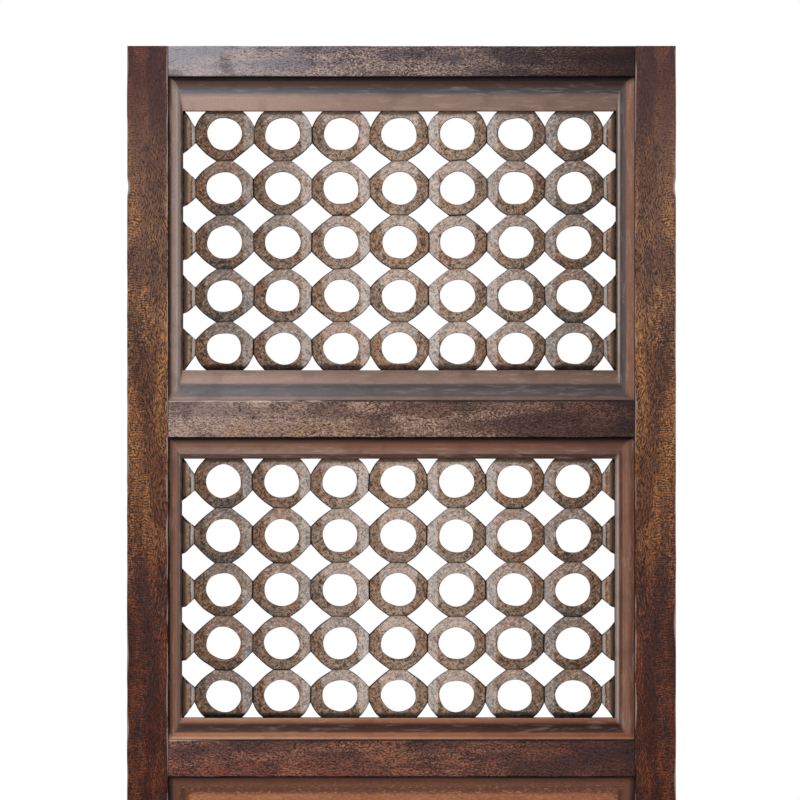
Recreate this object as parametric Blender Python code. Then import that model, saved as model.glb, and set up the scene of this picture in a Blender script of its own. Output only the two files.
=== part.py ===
"""Carved wooden wall panel, built as a joiner makes it.

Two stiles and four rails are joined by tenons in mortises. Two pierced lattice boards and one
plain raised board sit in grooves round the three bays of that frame.

Metres, +Z up, and the carved front faces -Y. The origin is on the back face of the top rail,
halfway along it, where the panel is fixed to a wall.
"""

import math

import bmesh
import bpy

# Frame members
PANEL_WIDTH = 0.508
FRAME_THICKNESS = 0.025
STILE_WIDTH = 0.038
TOP_RAIL_HEIGHT = 0.028
MIDDLE_RAIL_HEIGHT = 0.034
BOTTOM_RAIL_HEIGHT = 0.038
RAIL_SETBACK = 0.0005
EASED_EDGE = 0.0008

# Joints
FIT_GAP = 0.0003
TENON_LENGTH = 0.020
TENON_THICKNESS = 0.008
TENON_GROOVE_WALL = 0.002
TENON_EDGE_WALL = 0.006
MORTISE_BOTTOM_GAP = 0.001
TONGUE_LENGTH = 0.006
TONGUE_THICKNESS = 0.0075
TONGUE_SETBACK = 0.0085
GROOVE_BOTTOM_GAP = 0.001

# Boards, with depths counted from the front face of the frame
STRIP_SETBACK = 0.006
LIP_SETBACK = 0.004
COVE_SAG = 0.0030
BACK_SETBACK = 0.006
COVE_STEPS = 5

# Moulded border of the lattice boards, from the frame inwards
SIDE_STRIP = 0.0070
SIDE_COVE = 0.0055
SIDE_LIP = 0.0030
END_STRIP = 0.0055
END_COVE = 0.0100
UPPER_TOP_LIP = 0.0165
UPPER_BOTTOM_LIP = 0.0125
LOWER_LIP = 0.0045

# Lattice
COLUMNS = 7
ROWS = 5
LATTICE_HEIGHT = 0.240
END_ROW_CENTRE = 0.0209
RING_SETBACK = 0.007
CUT_DEPTH = 0.005
STUB_WIDTH = 0.0115
STUB_BEVEL = 0.0034
HOLE_WIDTH = 0.0325
HOLE_HEIGHT = 0.0303
HOLE_SIDES = 14
HOLE_RIM = 0.0008
NECK_WIDTH = 0.0178
WAIST_HEIGHT = 0.0168
END_NOTCH_WIDTH = 0.0197
END_NOTCH_HEIGHT = 0.0143
NOTCH_OVERCUT = 0.0004
UPPER_SHIFT = -0.0020
LOWER_SHIFT = -0.0030

# Plain board in the lowest bay
BASE_BAY_HEIGHT = 0.286
BASE_SIDE_STRIP = 0.0060
BASE_SIDE_COVE = 0.0100
BASE_END_STRIP = 0.0030
BASE_END_COVE = 0.0100

CUTTER_OVERRUN = 0.010
TENON_OVERLAP = 0.005

ALONG = {
    "X": lambda a, b, s: (s, a, b),
    "Y": lambda a, b, s: (a, s, b),
    "Z": lambda a, b, s: (a, b, s),
}

FRONT = -FRAME_THICKNESS
BACK = 0.0
BAY_HALF_WIDTH = PANEL_WIDTH / 2 - STILE_WIDTH
TONGUE_FRONT = FRONT + TONGUE_SETBACK
TONGUE_BACK = TONGUE_FRONT + TONGUE_THICKNESS
GROOVE_FRONT = TONGUE_FRONT - FIT_GAP
GROOVE_BACK = TONGUE_BACK + FIT_GAP
GROOVE_DEPTH = TONGUE_LENGTH + GROOVE_BOTTOM_GAP
TENON_FRONT = (FRONT + BACK - TENON_THICKNESS) / 2


def clear_scene():
    """Removes whatever the scene holds."""
    for obj in list(bpy.data.objects):
        bpy.data.objects.remove(obj)


def make_material(name, colour, roughness):
    """A wood finish: base colour in linear RGB, no metal."""
    material = bpy.data.materials.new(name)
    material.use_nodes = True
    shader = material.node_tree.nodes["Principled BSDF"]
    shader.inputs["Base Color"].default_value = (*colour, 1.0)
    shader.inputs["Roughness"].default_value = roughness
    shader.inputs["Metallic"].default_value = 0.0
    return material


def make_object(name, bm, material=None):
    """Turns the bmesh into a named object. Without a material it is a hidden tool shape."""
    bmesh.ops.recalc_face_normals(bm, faces=bm.faces)
    mesh = bpy.data.meshes.new(name)
    bm.to_mesh(mesh)
    bm.free()
    obj = bpy.data.objects.new(name, mesh)
    bpy.context.scene.collection.objects.link(obj)
    if material is None:
        obj.hide_render = True
        obj.display_type = "WIRE"
    else:
        mesh.materials.append(material)
    return obj


def add_boolean(obj, other, operation):
    """Joins other to obj, or cuts it from obj."""
    modifier = obj.modifiers.new(other.name, "BOOLEAN")
    modifier.operation = operation
    modifier.solver = "EXACT"
    modifier.object = other


def add_prism(bm, outline, axis, start, end):
    """Adds a closed prism: the outline of (a, b) points carried along the axis from start to end."""
    place = ALONG[axis]
    near = [bm.verts.new(place(a, b, start)) for a, b in outline]
    far = [bm.verts.new(place(a, b, end)) for a, b in outline]
    bm.faces.new(near)
    bm.faces.new(far)
    for i in range(len(outline)):
        j = (i + 1) % len(outline)
        bm.faces.new((near[i], near[j], far[j], far[i]))


def rectangle(left, right, low, high):
    return [(left, low), (right, low), (right, high), (left, high)]


def eased_rectangle(left, right, low, high):
    """A rectangle whose four corners are planed off by the eased edge."""
    e = EASED_EDGE
    return [
        (left, low + e),
        (left + e, low),
        (right - e, low),
        (right, low + e),
        (right, high - e),
        (right - e, high),
        (left + e, high),
        (left, high - e),
    ]


def rail_section(low, high, groove_below, groove_above):
    """Outline in (y, z) of a rail, with a groove in its lower or upper edge where a board enters."""
    corners = eased_rectangle(FRONT + RAIL_SETBACK, BACK, low, high)
    below = rectangle(GROOVE_FRONT, GROOVE_BACK, low, low + GROOVE_DEPTH)
    above = rectangle(GROOVE_FRONT, GROOVE_BACK, high - GROOVE_DEPTH, high)
    lower_slot = [below[0], below[3], below[2], below[1]] if groove_below else []
    upper_slot = [above[2], above[1], above[0], above[3]] if groove_above else []
    return corners[:2] + lower_slot + corners[2:6] + upper_slot + corners[6:]


def tenon_span(low, high, groove_below, groove_above):
    """Lowest and highest z of a rail's tenon, which leaves a wall to each groove or plain edge."""
    grooved = GROOVE_DEPTH + TENON_GROOVE_WALL
    return (
        low + (grooved if groove_below else TENON_EDGE_WALL),
        high - (grooved if groove_above else TENON_EDGE_WALL),
    )


def make_rail(name, low, high, groove_below, groove_above, material):
    """A rail between the stiles, with a tenon at each end."""
    shoulder = BAY_HALF_WIDTH - FIT_GAP
    bm = bmesh.new()
    section = rail_section(low, high, groove_below, groove_above)
    add_prism(bm, section, "X", -shoulder, shoulder)
    rail = make_object(name, bm, material)
    bm = bmesh.new()
    tenon = rectangle(
        TENON_FRONT,
        TENON_FRONT + TENON_THICKNESS,
        *tenon_span(low, high, groove_below, groove_above),
    )
    for side in (-1, 1):
        inside = side * (shoulder - TENON_OVERLAP)
        add_prism(bm, tenon, "X", inside, side * (BAY_HALF_WIDTH + TENON_LENGTH))
    add_boolean(rail, make_object(name + ".tenons", bm), "UNION")
    return rail


def make_stile(name, side, low, high, bays, rails, material):
    """An upright as tall as the panel, with a groove for each bay and a mortise for each rail."""
    inner, outer = side * BAY_HALF_WIDTH, side * PANEL_WIDTH / 2
    bm = bmesh.new()
    section = eased_rectangle(min(inner, outer), max(inner, outer), FRONT, BACK)
    add_prism(bm, section, "Z", low, high)
    stile = make_object(name, bm, material)
    bm = bmesh.new()
    mouth = inner - side * CUTTER_OVERRUN
    groove = rectangle(mouth, inner + side * GROOVE_DEPTH, GROOVE_FRONT, GROOVE_BACK)
    for bay_low, bay_high in bays:
        add_prism(bm, groove, "Z", bay_low - GROOVE_DEPTH, bay_high + GROOVE_DEPTH)
    mortise = rectangle(
        mouth,
        inner + side * (TENON_LENGTH + MORTISE_BOTTOM_GAP),
        TENON_FRONT - FIT_GAP,
        TENON_FRONT + TENON_THICKNESS + FIT_GAP,
    )
    for rail in rails:
        tenon_low, tenon_high = tenon_span(*rail)
        add_prism(bm, mortise, "Z", tenon_low - FIT_GAP, tenon_high + FIT_GAP)
    add_boolean(stile, make_object(name + ".slots", bm), "DIFFERENCE")
    return stile


def add_loop(bm, bay, inset, depth, lean=0.0):
    """Four corners of a rectangle inset from the bay by (side, bottom, top), at depth from the
    front. lean widens the inset on the left by that share and narrows it on the right."""
    low, high = bay
    side, bottom, top = inset
    left, right = side * (1 + lean) - BAY_HALF_WIDTH, BAY_HALF_WIDTH - side * (1 - lean)
    corners = rectangle(left, right, low + bottom, high - top)
    return [bm.verts.new((x, FRONT + depth, z)) for x, z in corners]


def bridge(bm, outer, inner):
    for i in range(4):
        j = (i + 1) % 4
        bm.faces.new((outer[i], outer[j], inner[j], inner[i]))


def moulded_rim(bm, bay, strips, coves, lips, lean=0.0):
    """The edge of a board, from the middle of its back round the tongue to the end of its lip.

    strips, coves and lips are widths as (side, bottom, top), and lean is the share by which those
    on the left are wider. The cove is a half sine sag below the line from the strip to the lip.
    Returns the innermost loop.
    """
    tongue = (-TONGUE_LENGTH,) * 3
    sight = (FIT_GAP,) * 3
    tongue_back = TONGUE_SETBACK + TONGUE_THICKNESS
    loops = [
        add_loop(bm, bay, sight, FRAME_THICKNESS - BACK_SETBACK),
        add_loop(bm, bay, sight, tongue_back),
        add_loop(bm, bay, tongue, tongue_back),
        add_loop(bm, bay, tongue, TONGUE_SETBACK),
        add_loop(bm, bay, sight, TONGUE_SETBACK),
        add_loop(bm, bay, sight, STRIP_SETBACK),
    ]
    for step in range(COVE_STEPS + 1):
        t = step / COVE_STEPS
        inset = [strip + cove * t for strip, cove in zip(strips, coves)]
        line = STRIP_SETBACK + (LIP_SETBACK - STRIP_SETBACK) * t
        loops.append(add_loop(bm, bay, inset, line + COVE_SAG * math.sin(math.pi * t), lean))
    ends = [strip + cove + lip for strip, cove, lip in zip(strips, coves, lips)]
    if any(lips):
        loops.append(add_loop(bm, bay, ends, LIP_SETBACK, lean))
    bm.faces.new(loops[0])
    for outer, inner in zip(loops, loops[1:]):
        bridge(bm, outer, inner)
    return loops[-1]


def ridge_stations(start, end, first_bevel, last_bevel):
    """(position, is it in the bottom of a cut) at the two cuts and the two ridges of one ring."""
    return [(start, True), (start + first_bevel, False), (end - last_bevel, False), (end, True)]


def chained(spans):
    """Joins lists of stations that share their end points."""
    stations = spans[0]
    for span in spans[1:]:
        stations = stations + span[1:]
    return stations


def column_lines(half_width):
    """x of each cut between columns, from the left stub to the right one."""
    pitch = 2 * (half_width - STUB_WIDTH) / COLUMNS
    return [-half_width + STUB_WIDTH + pitch * i for i in range(COLUMNS + 1)]


def row_centres(low, high):
    pitch = (high - low - 2 * END_ROW_CENTRE) / (ROWS - 1)
    return [low + END_ROW_CENTRE + pitch * i for i in range(ROWS)]


def row_lines(low, high):
    """z of each cut between rows, from the lower border to the upper one."""
    centres = row_centres(low, high)
    between = [(a + b) / 2 for a, b in zip(centres, centres[1:])]
    return [low] + between + [high]


def lattice_stations(half_width, low, high):
    """Where the cuts and ridges cross: one list of stations along x, one along z."""
    lines = column_lines(half_width)
    flat = HOLE_WIDTH / 2 + HOLE_RIM
    bevel = (lines[1] - lines[0]) / 2 - flat
    spans = [ridge_stations(-half_width, lines[0], STUB_BEVEL, STUB_BEVEL)]
    spans += [ridge_stations(a, b, bevel, bevel) for a, b in zip(lines, lines[1:])]
    spans += [ridge_stations(lines[-1], half_width, STUB_BEVEL, STUB_BEVEL)]
    lines, centres = row_lines(low, high), row_centres(low, high)
    flat = HOLE_HEIGHT / 2 + HOLE_RIM
    rows = [
        ridge_stations(a, b, c - flat - a, b - c - flat)
        for a, b, c in zip(lines, lines[1:], centres)
    ]
    return chained(spans), chained(rows)


def carved_field(bm, rim, shift, half_width, low, high):
    """The ground of the lattice before it is pierced: crossing V cuts, which leave a flat-topped
    block for each ring. Where two bevels meet, a small facet takes off the block's corner. shift
    is how far the middle of the lattice lies to the right of the middle of the panel."""
    across, upwards = lattice_stations(half_width, low, high)
    flat, bottom = FRONT + RING_SETBACK, FRONT + RING_SETBACK + CUT_DEPTH
    grid = [
        [bm.verts.new((x + shift, bottom if cut_x or cut_z else flat, z)) for z, cut_z in upwards]
        for x, cut_x in across
    ]
    for i in range(len(across) - 1):
        for j in range(len(upwards) - 1):
            corners = [(i, j), (i + 1, j), (i + 1, j + 1), (i, j + 1)]
            quad = [grid[a][b] for a, b in corners]
            tops = [k for k, (a, b) in enumerate(corners) if not (across[a][1] or upwards[b][1])]
            if len(tops) != 1:
                bm.faces.new(quad)
                continue
            k = tops[0]
            after, far, before = quad[(k + 1) % 4], quad[(k + 2) % 4], quad[(k + 3) % 4]
            bm.faces.new((quad[k], after, before))
            bm.faces.new((after, far, before))
    last_x, last_z = len(across) - 1, len(upwards) - 1
    edges = [
        [grid[i][0] for i in range(last_x + 1)],
        [grid[last_x][j] for j in range(last_z + 1)],
        [grid[i][last_z] for i in range(last_x, -1, -1)],
        [grid[0][j] for j in range(last_z, -1, -1)],
    ]
    for k, edge in enumerate(edges):
        bm.faces.new([rim[k]] + edge + [rim[(k + 1) % 4]])


def ellipse(x, z, width, height):
    angles = [2 * math.pi * i / HOLE_SIDES for i in range(HOLE_SIDES)]
    return [(x + width / 2 * math.cos(a), z + height / 2 * math.sin(a)) for a in angles]


def diamond(x, z, half_width, half_height):
    """The four-sided piercing between four rings."""
    return [(x + half_width, z), (x, z + half_height), (x - half_width, z), (x, z - half_height)]


def clipped(outline, limit):
    """The part of the outline between x = -limit and x = limit."""
    for side in (-1, 1):
        kept = []
        for start, end in zip(outline, outline[1:] + outline[:1]):
            a, b = limit - side * start[0], limit - side * end[0]
            if a >= 0:
                kept.append(start)
            if a * b < 0:
                t = a / (a - b)
                crossing_z = start[1] + (end[1] - start[1]) * t
                kept.append((side * limit, crossing_z))
        outline = kept
    return outline


def end_notch(x, edge, inwards):
    """The three-sided piercing against the border. inwards is 1 at the bottom and -1 at the top."""
    base = edge - inwards * NOTCH_OVERCUT
    half = END_NOTCH_WIDTH / 2
    return [(x - half, base), (x + half, base), (x, edge + inwards * END_NOTCH_HEIGHT)]


def piercings(half_width, low, high):
    """Outlines in (x, z) of every hole that goes through the lattice."""
    columns, rows = column_lines(half_width), row_lines(low, high)
    ring_centres = [(a + b) / 2 for a, b in zip(columns, columns[1:])]
    outlines = [
        ellipse(x, z, HOLE_WIDTH, HOLE_HEIGHT)
        for x in ring_centres
        for z in row_centres(low, high)
    ]
    half_diamond = (columns[1] - columns[0] - NECK_WIDTH) / 2
    half_tall = (rows[2] - rows[1] - WAIST_HEIGHT) / 2
    limit = half_width + NOTCH_OVERCUT
    for x in columns:
        outlines += [clipped(diamond(x, z, half_diamond, half_tall), limit) for z in rows[1:-1]]
        outlines += [end_notch(x, low, 1), end_notch(x, high, -1)]
    return outlines


def make_lattice_board(name, bay, bottom_lip, top_lip, shift, material):
    """A board with a moulded border, carved into rings and pierced right through. The carver set
    the lattice off the middle by shift, so one side of the border is wider than the other."""
    strips = (SIDE_STRIP, END_STRIP, END_STRIP)
    coves = (SIDE_COVE, END_COVE, END_COVE)
    lips = (SIDE_LIP, bottom_lip, top_lip)
    side_border = SIDE_STRIP + SIDE_COVE + SIDE_LIP
    half_width = BAY_HALF_WIDTH - side_border
    low = bay[0] + END_STRIP + END_COVE + bottom_lip
    high = bay[1] - END_STRIP - END_COVE - top_lip
    bm = bmesh.new()
    rim = moulded_rim(bm, bay, strips, coves, lips, shift / side_border)
    carved_field(bm, rim, shift, half_width, low, high)
    board = make_object(name, bm, material)
    bm = bmesh.new()
    for outline in piercings(half_width, low, high):
        placed = [(x + shift, z) for x, z in outline]
        add_prism(bm, placed, "Y", FRONT - CUTTER_OVERRUN, BACK + CUTTER_OVERRUN)
    add_boolean(board, make_object(name + ".piercings", bm), "DIFFERENCE")
    return board


def make_raised_board(name, bay, material):
    """A plain board whose middle stands up, inside the same kind of cove."""
    strips = (BASE_SIDE_STRIP, BASE_END_STRIP, BASE_END_STRIP)
    coves = (BASE_SIDE_COVE, BASE_END_COVE, BASE_END_COVE)
    bm = bmesh.new()
    bm.faces.new(moulded_rim(bm, bay, strips, coves, (0.0, 0.0, 0.0)))
    return make_object(name, bm, material)


def stacked_downwards(top, heights):
    """(low, high) of each item in a pile that starts at top and goes down."""
    spans = []
    for height in heights:
        spans.append((top - height, top))
        top -= height
    return spans


def make_panel():
    clear_scene()
    ends = 2 * (END_STRIP + END_COVE)
    upper_bay = ends + LATTICE_HEIGHT + UPPER_TOP_LIP + UPPER_BOTTOM_LIP
    lower_bay = ends + LATTICE_HEIGHT + 2 * LOWER_LIP
    heights = [
        TOP_RAIL_HEIGHT,
        upper_bay,
        MIDDLE_RAIL_HEIGHT,
        lower_bay,
        MIDDLE_RAIL_HEIGHT,
        BASE_BAY_HEIGHT,
        BOTTOM_RAIL_HEIGHT,
    ]
    spans = stacked_downwards(TOP_RAIL_HEIGHT / 2, heights)
    bays = spans[1::2]
    rails = [
        (*spans[0], True, False),
        (*spans[2], True, True),
        (*spans[4], True, True),
        (*spans[6], False, True),
    ]
    stile_wood = make_material("stile_wood", (0.115, 0.052, 0.026), 0.55)
    rail_wood = make_material("rail_wood", (0.105, 0.056, 0.040), 0.55)
    lattice_wood = make_material("lattice_wood", (0.170, 0.098, 0.062), 0.60)
    base_wood = make_material("base_wood", (0.190, 0.088, 0.048), 0.55)
    for name, side in (("left_stile", -1), ("right_stile", 1)):
        make_stile(name, side, spans[-1][0], spans[0][1], bays, rails, stile_wood)
    rail_names = ("top_rail", "upper_middle_rail", "lower_middle_rail", "bottom_rail")
    for name, rail in zip(rail_names, rails):
        make_rail(name, *rail, rail_wood)
    upper_lips, lower_lips = (UPPER_BOTTOM_LIP, UPPER_TOP_LIP), (LOWER_LIP, LOWER_LIP)
    make_lattice_board("upper_lattice", bays[0], *upper_lips, UPPER_SHIFT, lattice_wood)
    make_lattice_board("lower_lattice", bays[1], *lower_lips, LOWER_SHIFT, lattice_wood)
    make_raised_board("base_board", bays[2], base_wood)


make_panel()
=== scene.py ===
# %% [markdown]
# # Dressing a carved lattice panel
#
# The object is a tall wooden wall panel: two uprights and four cross members hold two pierced
# boards and one plain board. The joiner's model is already made and gives every size and place.
# It has flat facets and plain colours, so this lesson builds the surfaces that a hand left: worn
# edges, carved bevels, moulded borders and old stain, with painted light and shade laid into the
# colours as well. Each new piece stands exactly where the joiner's piece is, because its sizes are
# read from that piece.

# %% Load the joiner's model
import math

import bmesh
import bpy
import numpy as np
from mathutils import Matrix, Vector


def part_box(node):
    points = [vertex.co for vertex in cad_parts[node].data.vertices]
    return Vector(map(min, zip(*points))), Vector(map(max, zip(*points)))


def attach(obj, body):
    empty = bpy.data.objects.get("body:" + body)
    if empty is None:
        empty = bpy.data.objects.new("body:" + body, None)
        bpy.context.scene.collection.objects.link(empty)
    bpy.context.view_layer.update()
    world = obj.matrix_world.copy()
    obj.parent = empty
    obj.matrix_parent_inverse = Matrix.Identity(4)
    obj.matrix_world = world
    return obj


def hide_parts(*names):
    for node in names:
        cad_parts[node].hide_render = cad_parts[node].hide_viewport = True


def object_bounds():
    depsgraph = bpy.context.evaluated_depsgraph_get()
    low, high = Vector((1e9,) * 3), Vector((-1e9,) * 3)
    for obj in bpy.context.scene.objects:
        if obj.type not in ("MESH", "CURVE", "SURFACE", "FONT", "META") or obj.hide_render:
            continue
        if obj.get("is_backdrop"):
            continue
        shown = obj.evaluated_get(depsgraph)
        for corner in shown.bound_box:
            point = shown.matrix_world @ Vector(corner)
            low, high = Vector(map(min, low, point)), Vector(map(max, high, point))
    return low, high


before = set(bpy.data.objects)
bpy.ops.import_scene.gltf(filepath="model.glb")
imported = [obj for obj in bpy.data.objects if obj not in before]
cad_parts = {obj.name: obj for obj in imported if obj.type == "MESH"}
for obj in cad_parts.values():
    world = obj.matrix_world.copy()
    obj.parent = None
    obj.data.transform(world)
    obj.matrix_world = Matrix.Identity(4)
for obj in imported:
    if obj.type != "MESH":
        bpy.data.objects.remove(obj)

CAD_LOW, CAD_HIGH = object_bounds()
FRONT, BACK = (corner.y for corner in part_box("left_stile"))
print("Panel box, mm:", [round(1000 * (b - a), 1) for a, b in zip(CAD_LOW, CAD_HIGH)])

# %% [markdown]
# ## Bays and members
#
# A bay is the opening that the frame leaves for a board. Its edges are the inner edges of the
# uprights and the facing edges of two cross members, so they are read from those four pieces and
# never typed in twice. Only the carving inside a board needs sizes of its own.

# %% Read the bays from the frame
STILES = ("left_stile", "right_stile")
RAILS = ("top_rail", "upper_middle_rail", "lower_middle_rail", "bottom_rail")
BAY_HALF_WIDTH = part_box("right_stile")[0].x
SPANS = {name: (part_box(name)[0].z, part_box(name)[1].z) for name in RAILS}
BAYS = [(SPANS[below][1], SPANS[above][0]) for above, below in zip(RAILS, RAILS[1:])]
for low, high in BAYS:
    print(f"Bay {2000 * BAY_HALF_WIDTH:.0f} x {1000 * (high - low):.0f} mm")

# %% [markdown]
# ## Repeatable roughness
#
# Hand work is never quite straight. A sum of a few sine waves in random directions is smooth, has
# no visible repeat and costs one line of array maths. It depends on place alone, so two surfaces
# that share an edge are moved by the same amount there and stay closed.

# %% A smooth wavering of place
def waver(u, v, wavelength, seed, waves=9):
    """Sum of sine waves over the plane (u, v), in random directions, divided by the root of
    their number. Their lengths lie between 0.7 and 1.5 of the wavelength. Mostly within -1..1."""
    rng = np.random.default_rng(seed)
    turn = rng.uniform(0, 2 * np.pi, waves)
    pace = 2 * np.pi / (wavelength * rng.uniform(0.7, 1.5, waves))
    phase = rng.uniform(0, 2 * np.pi, waves)
    total = 0
    for a, k, p in zip(turn, pace, phase):
        total = total + np.sin(k * (u * np.cos(a) + v * np.sin(a)) + p)
    return total / math.sqrt(waves)


def smooth(x, low, high):
    """0 below low, 1 above high, and the curve t * t * (3 - 2 t) between them."""
    t = np.clip((x - low) / (high - low), 0, 1)
    return t * t * (3 - 2 * t)


def hump(x, centre, width):
    """1 at the centre, falling off as a bell: exp(-(distance / width) squared)."""
    return np.exp(-(((x - centre) / width) ** 2))


print("waver over 100 mm:", np.round(waver(np.linspace(0, 0.1, 5), 0.0, 0.03, 1), 2))

# %% [markdown]
# ## One skin from many sheets
#
# Every surface here is a sheet: a grid of points worked out from two parameters. A skin gathers
# the sheets of one piece, joins the points that fall on each other, and so closes the seams. Each
# point also carries marks that the finish reads later: which way a bevel faces, how much dark
# stain and painted shade lie there, how much wear and painted light lighten it, and where it lies
# on a moulding's profile.

# %% Gather sheets into a closed mesh
MARKS = ("facing", "upward", "stain", "wear", "moulded", "place")
MERGE = 2e-6
SHARP_ANGLE = math.radians(38)


class Skin:
    """The sheets of one piece, kept as whole arrays until the piece is finished."""

    def __init__(self):
        self.points, self.quads, self.fans = [], [], []
        self.marks = {mark: [] for mark in MARKS}
        self.count = 0

    def add_points(self, points, marks):
        shape = points.shape[:-1]
        self.points.append(points.reshape(-1, 3))
        for mark in MARKS:
            values = np.broadcast_to(marks.get(mark, 0.0), shape)
            self.marks[mark].append(values.reshape(-1))
        index = self.count + np.arange(math.prod(shape)).reshape(shape)
        self.count += index.size
        return index

    def add_sheet(self, points, **marks):
        """Adds a grid of points, shape (rows, columns, 3), with a quad in each square."""
        index = self.add_points(points, marks)
        a, b = index[:-1, :-1], index[:-1, 1:]
        c, d = index[1:, 1:], index[1:, :-1]
        self.quads.append(np.stack([a, b, c, d], -1).reshape(-1, 4))

    def add_cap(self, points, **marks):
        """Closes an end with one many-sided face."""
        self.fans.append(self.add_points(points, marks))

    def finish(self, name):
        """Puts the arrays in a mesh, merges the seams and turns the faces outwards."""
        mesh = bpy.data.meshes.new(name)
        faces = np.concatenate(self.quads).tolist() + [fan.tolist() for fan in self.fans]
        mesh.from_pydata(np.concatenate(self.points), [], faces)
        for mark in MARKS:
            layer = mesh.attributes.new(mark, "FLOAT", "POINT")
            layer.data.foreach_set("value", np.concatenate(self.marks[mark]).astype(np.float32))
        bm = bmesh.new()
        bm.from_mesh(mesh)
        bmesh.ops.remove_doubles(bm, verts=bm.verts, dist=MERGE)
        bmesh.ops.dissolve_degenerate(bm, edges=bm.edges, dist=MERGE)
        bmesh.ops.recalc_face_normals(bm, faces=bm.faces)
        open_edges = sum(not edge.is_manifold for edge in bm.edges)
        bm.to_mesh(mesh)
        bm.free()
        mesh.shade_smooth()
        mesh.set_sharp_from_angle(angle=SHARP_ANGLE)
        piece = bpy.data.objects.new(name, mesh)
        bpy.context.scene.collection.objects.link(piece)
        mesh.calc_loop_triangles()
        print(f"{name}: {len(mesh.loop_triangles)} triangles, {open_edges} open edges")
        return piece


# %% [markdown]
# ## Uprights and cross members
#
# Each member is a plank: a rectangle with rounded corners, carried along its length. On a planed
# and handled plank the corners are rounded by different amounts from place to place, so the
# radius of each corner is its own wavering function of the distance along. The faces waver too,
# always inwards, so that the plank stays within its true size. The groove that holds a board
# runs along the inner edge and stops short of the ends of an upright.

# %% Carry a worn section along a plank
RAIL_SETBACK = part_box("top_rail")[0].y - FRONT
STATION_STEP = 0.003
CORNER_RADIUS = 0.0011
LEAST_RADIUS = 0.0003
CORNER_CHANGE = 0.0006
CORNER_WAVELENGTH = 0.035
CORNER_ARC = np.linspace(0, math.pi / 2, 5)
CORNER_WEAR = np.array([0.25, 0.8, 1.0, 0.8, 0.25])
CORNER_SIGNS = ((-1, -1), (1, -1), (1, 1), (-1, 1))
FACE_SHARES = np.linspace(0, 1, 11)[1:-1]
EDGE_SHARES = np.array([0.25, 0.5, 0.75])
DIP = 0.00025
DIP_WAVELENGTH = 0.08
WEAR_WAVELENGTH = 0.045
GROOVE_FRONT = FRONT + 0.0082
GROOVE_BACK = FRONT + 0.0163
GROOVE_DEPTH = 0.007
WORN_SPOT_HEIGHT = -0.1165
WORN_SPOT_LENGTH = 0.006
WORN_SPOT_DEPTH = 0.0011
WORN_SPOT_RUB = 0.01
RUB_LEVEL, RUB_CHANGE = 0.55, 0.6
STILE_HANDLED, RAIL_HANDLED = 1.2, 0.45
ARRIS_BAND = (1.3, 0.5)    # where the upper arris fades in, in corner radii below the top
PALE_ARRIS_FADE = (-0.02, 0.05)
PALE_ARRIS_CHANGE = 0.25
PALE_ARRIS_WAVELENGTH = 0.03
ARRIS_DARKENING = 0.9
# How far from the left the upper arris of each middle rail is pale: wear and a painted highlight.
WORN_AND_LIT_UNTIL = {"upper_middle_rail": -0.055, "lower_middle_rail": -0.165}


def plank_section(stations, low_a, high_a, front, grooves, handled, seed):
    """The outline of a member at every station, as arrays a, b and wear of shape (stations,
    points). a runs across the plank and b through it. Corner k is a quarter circle about a
    centre that lies one radius inside both faces: a = centre + r cos t, b = centre + r sin t.
    grooves gives the depth of the groove in the low (-1) or the high (1) edge, and handled how
    much the corners were rubbed."""
    ones = np.ones((len(stations), 1))
    a_parts, b_parts, wear_parts = [], [], []
    for k, (sign_a, sign_b) in enumerate(CORNER_SIGNS):
        radius = CORNER_RADIUS + CORNER_CHANGE * waver(stations, k, CORNER_WAVELENGTH, seed + k)
        radius = np.clip(radius, LEAST_RADIUS, None)[:, None]
        turn = math.pi * (1 + k / 2) + CORNER_ARC
        corner_a = high_a if sign_a > 0 else low_a
        corner_b = BACK if sign_b > 0 else front
        a_parts.append(corner_a - sign_a * radius + radius * np.cos(turn))
        b_parts.append(corner_b - sign_b * radius + radius * np.sin(turn))
        rub = RUB_LEVEL + RUB_CHANGE * waver(stations, k, WEAR_WAVELENGTH, seed + 10 + k)
        wear_parts.append(CORNER_WEAR * (np.clip(rub, 0, 1) * handled)[:, None])
        forward = 1 if k < 2 else -1
        if k in (0, 2):
            a = ones * (low_a + (high_a - low_a) * FACE_SHARES[::forward])
            b = ones * np.full(len(FACE_SHARES), corner_b)
        elif sign_a in grooves:
            depth = grooves[sign_a][:, None] * np.array([0, 1, 1, 0])
            a = corner_a - sign_a * depth
            mouth = [GROOVE_FRONT, GROOVE_FRONT, GROOVE_BACK, GROOVE_BACK][::forward]
            b = ones * np.array(mouth)
        else:
            a = ones * np.full(len(EDGE_SHARES), corner_a)
            b = ones * (front + (BACK - front) * EDGE_SHARES[::forward])
        a_parts.append(a)
        b_parts.append(b)
        wear_parts.append(np.zeros_like(a))
    return [np.concatenate(parts, 1) for parts in (a_parts, b_parts, wear_parts)]


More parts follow.
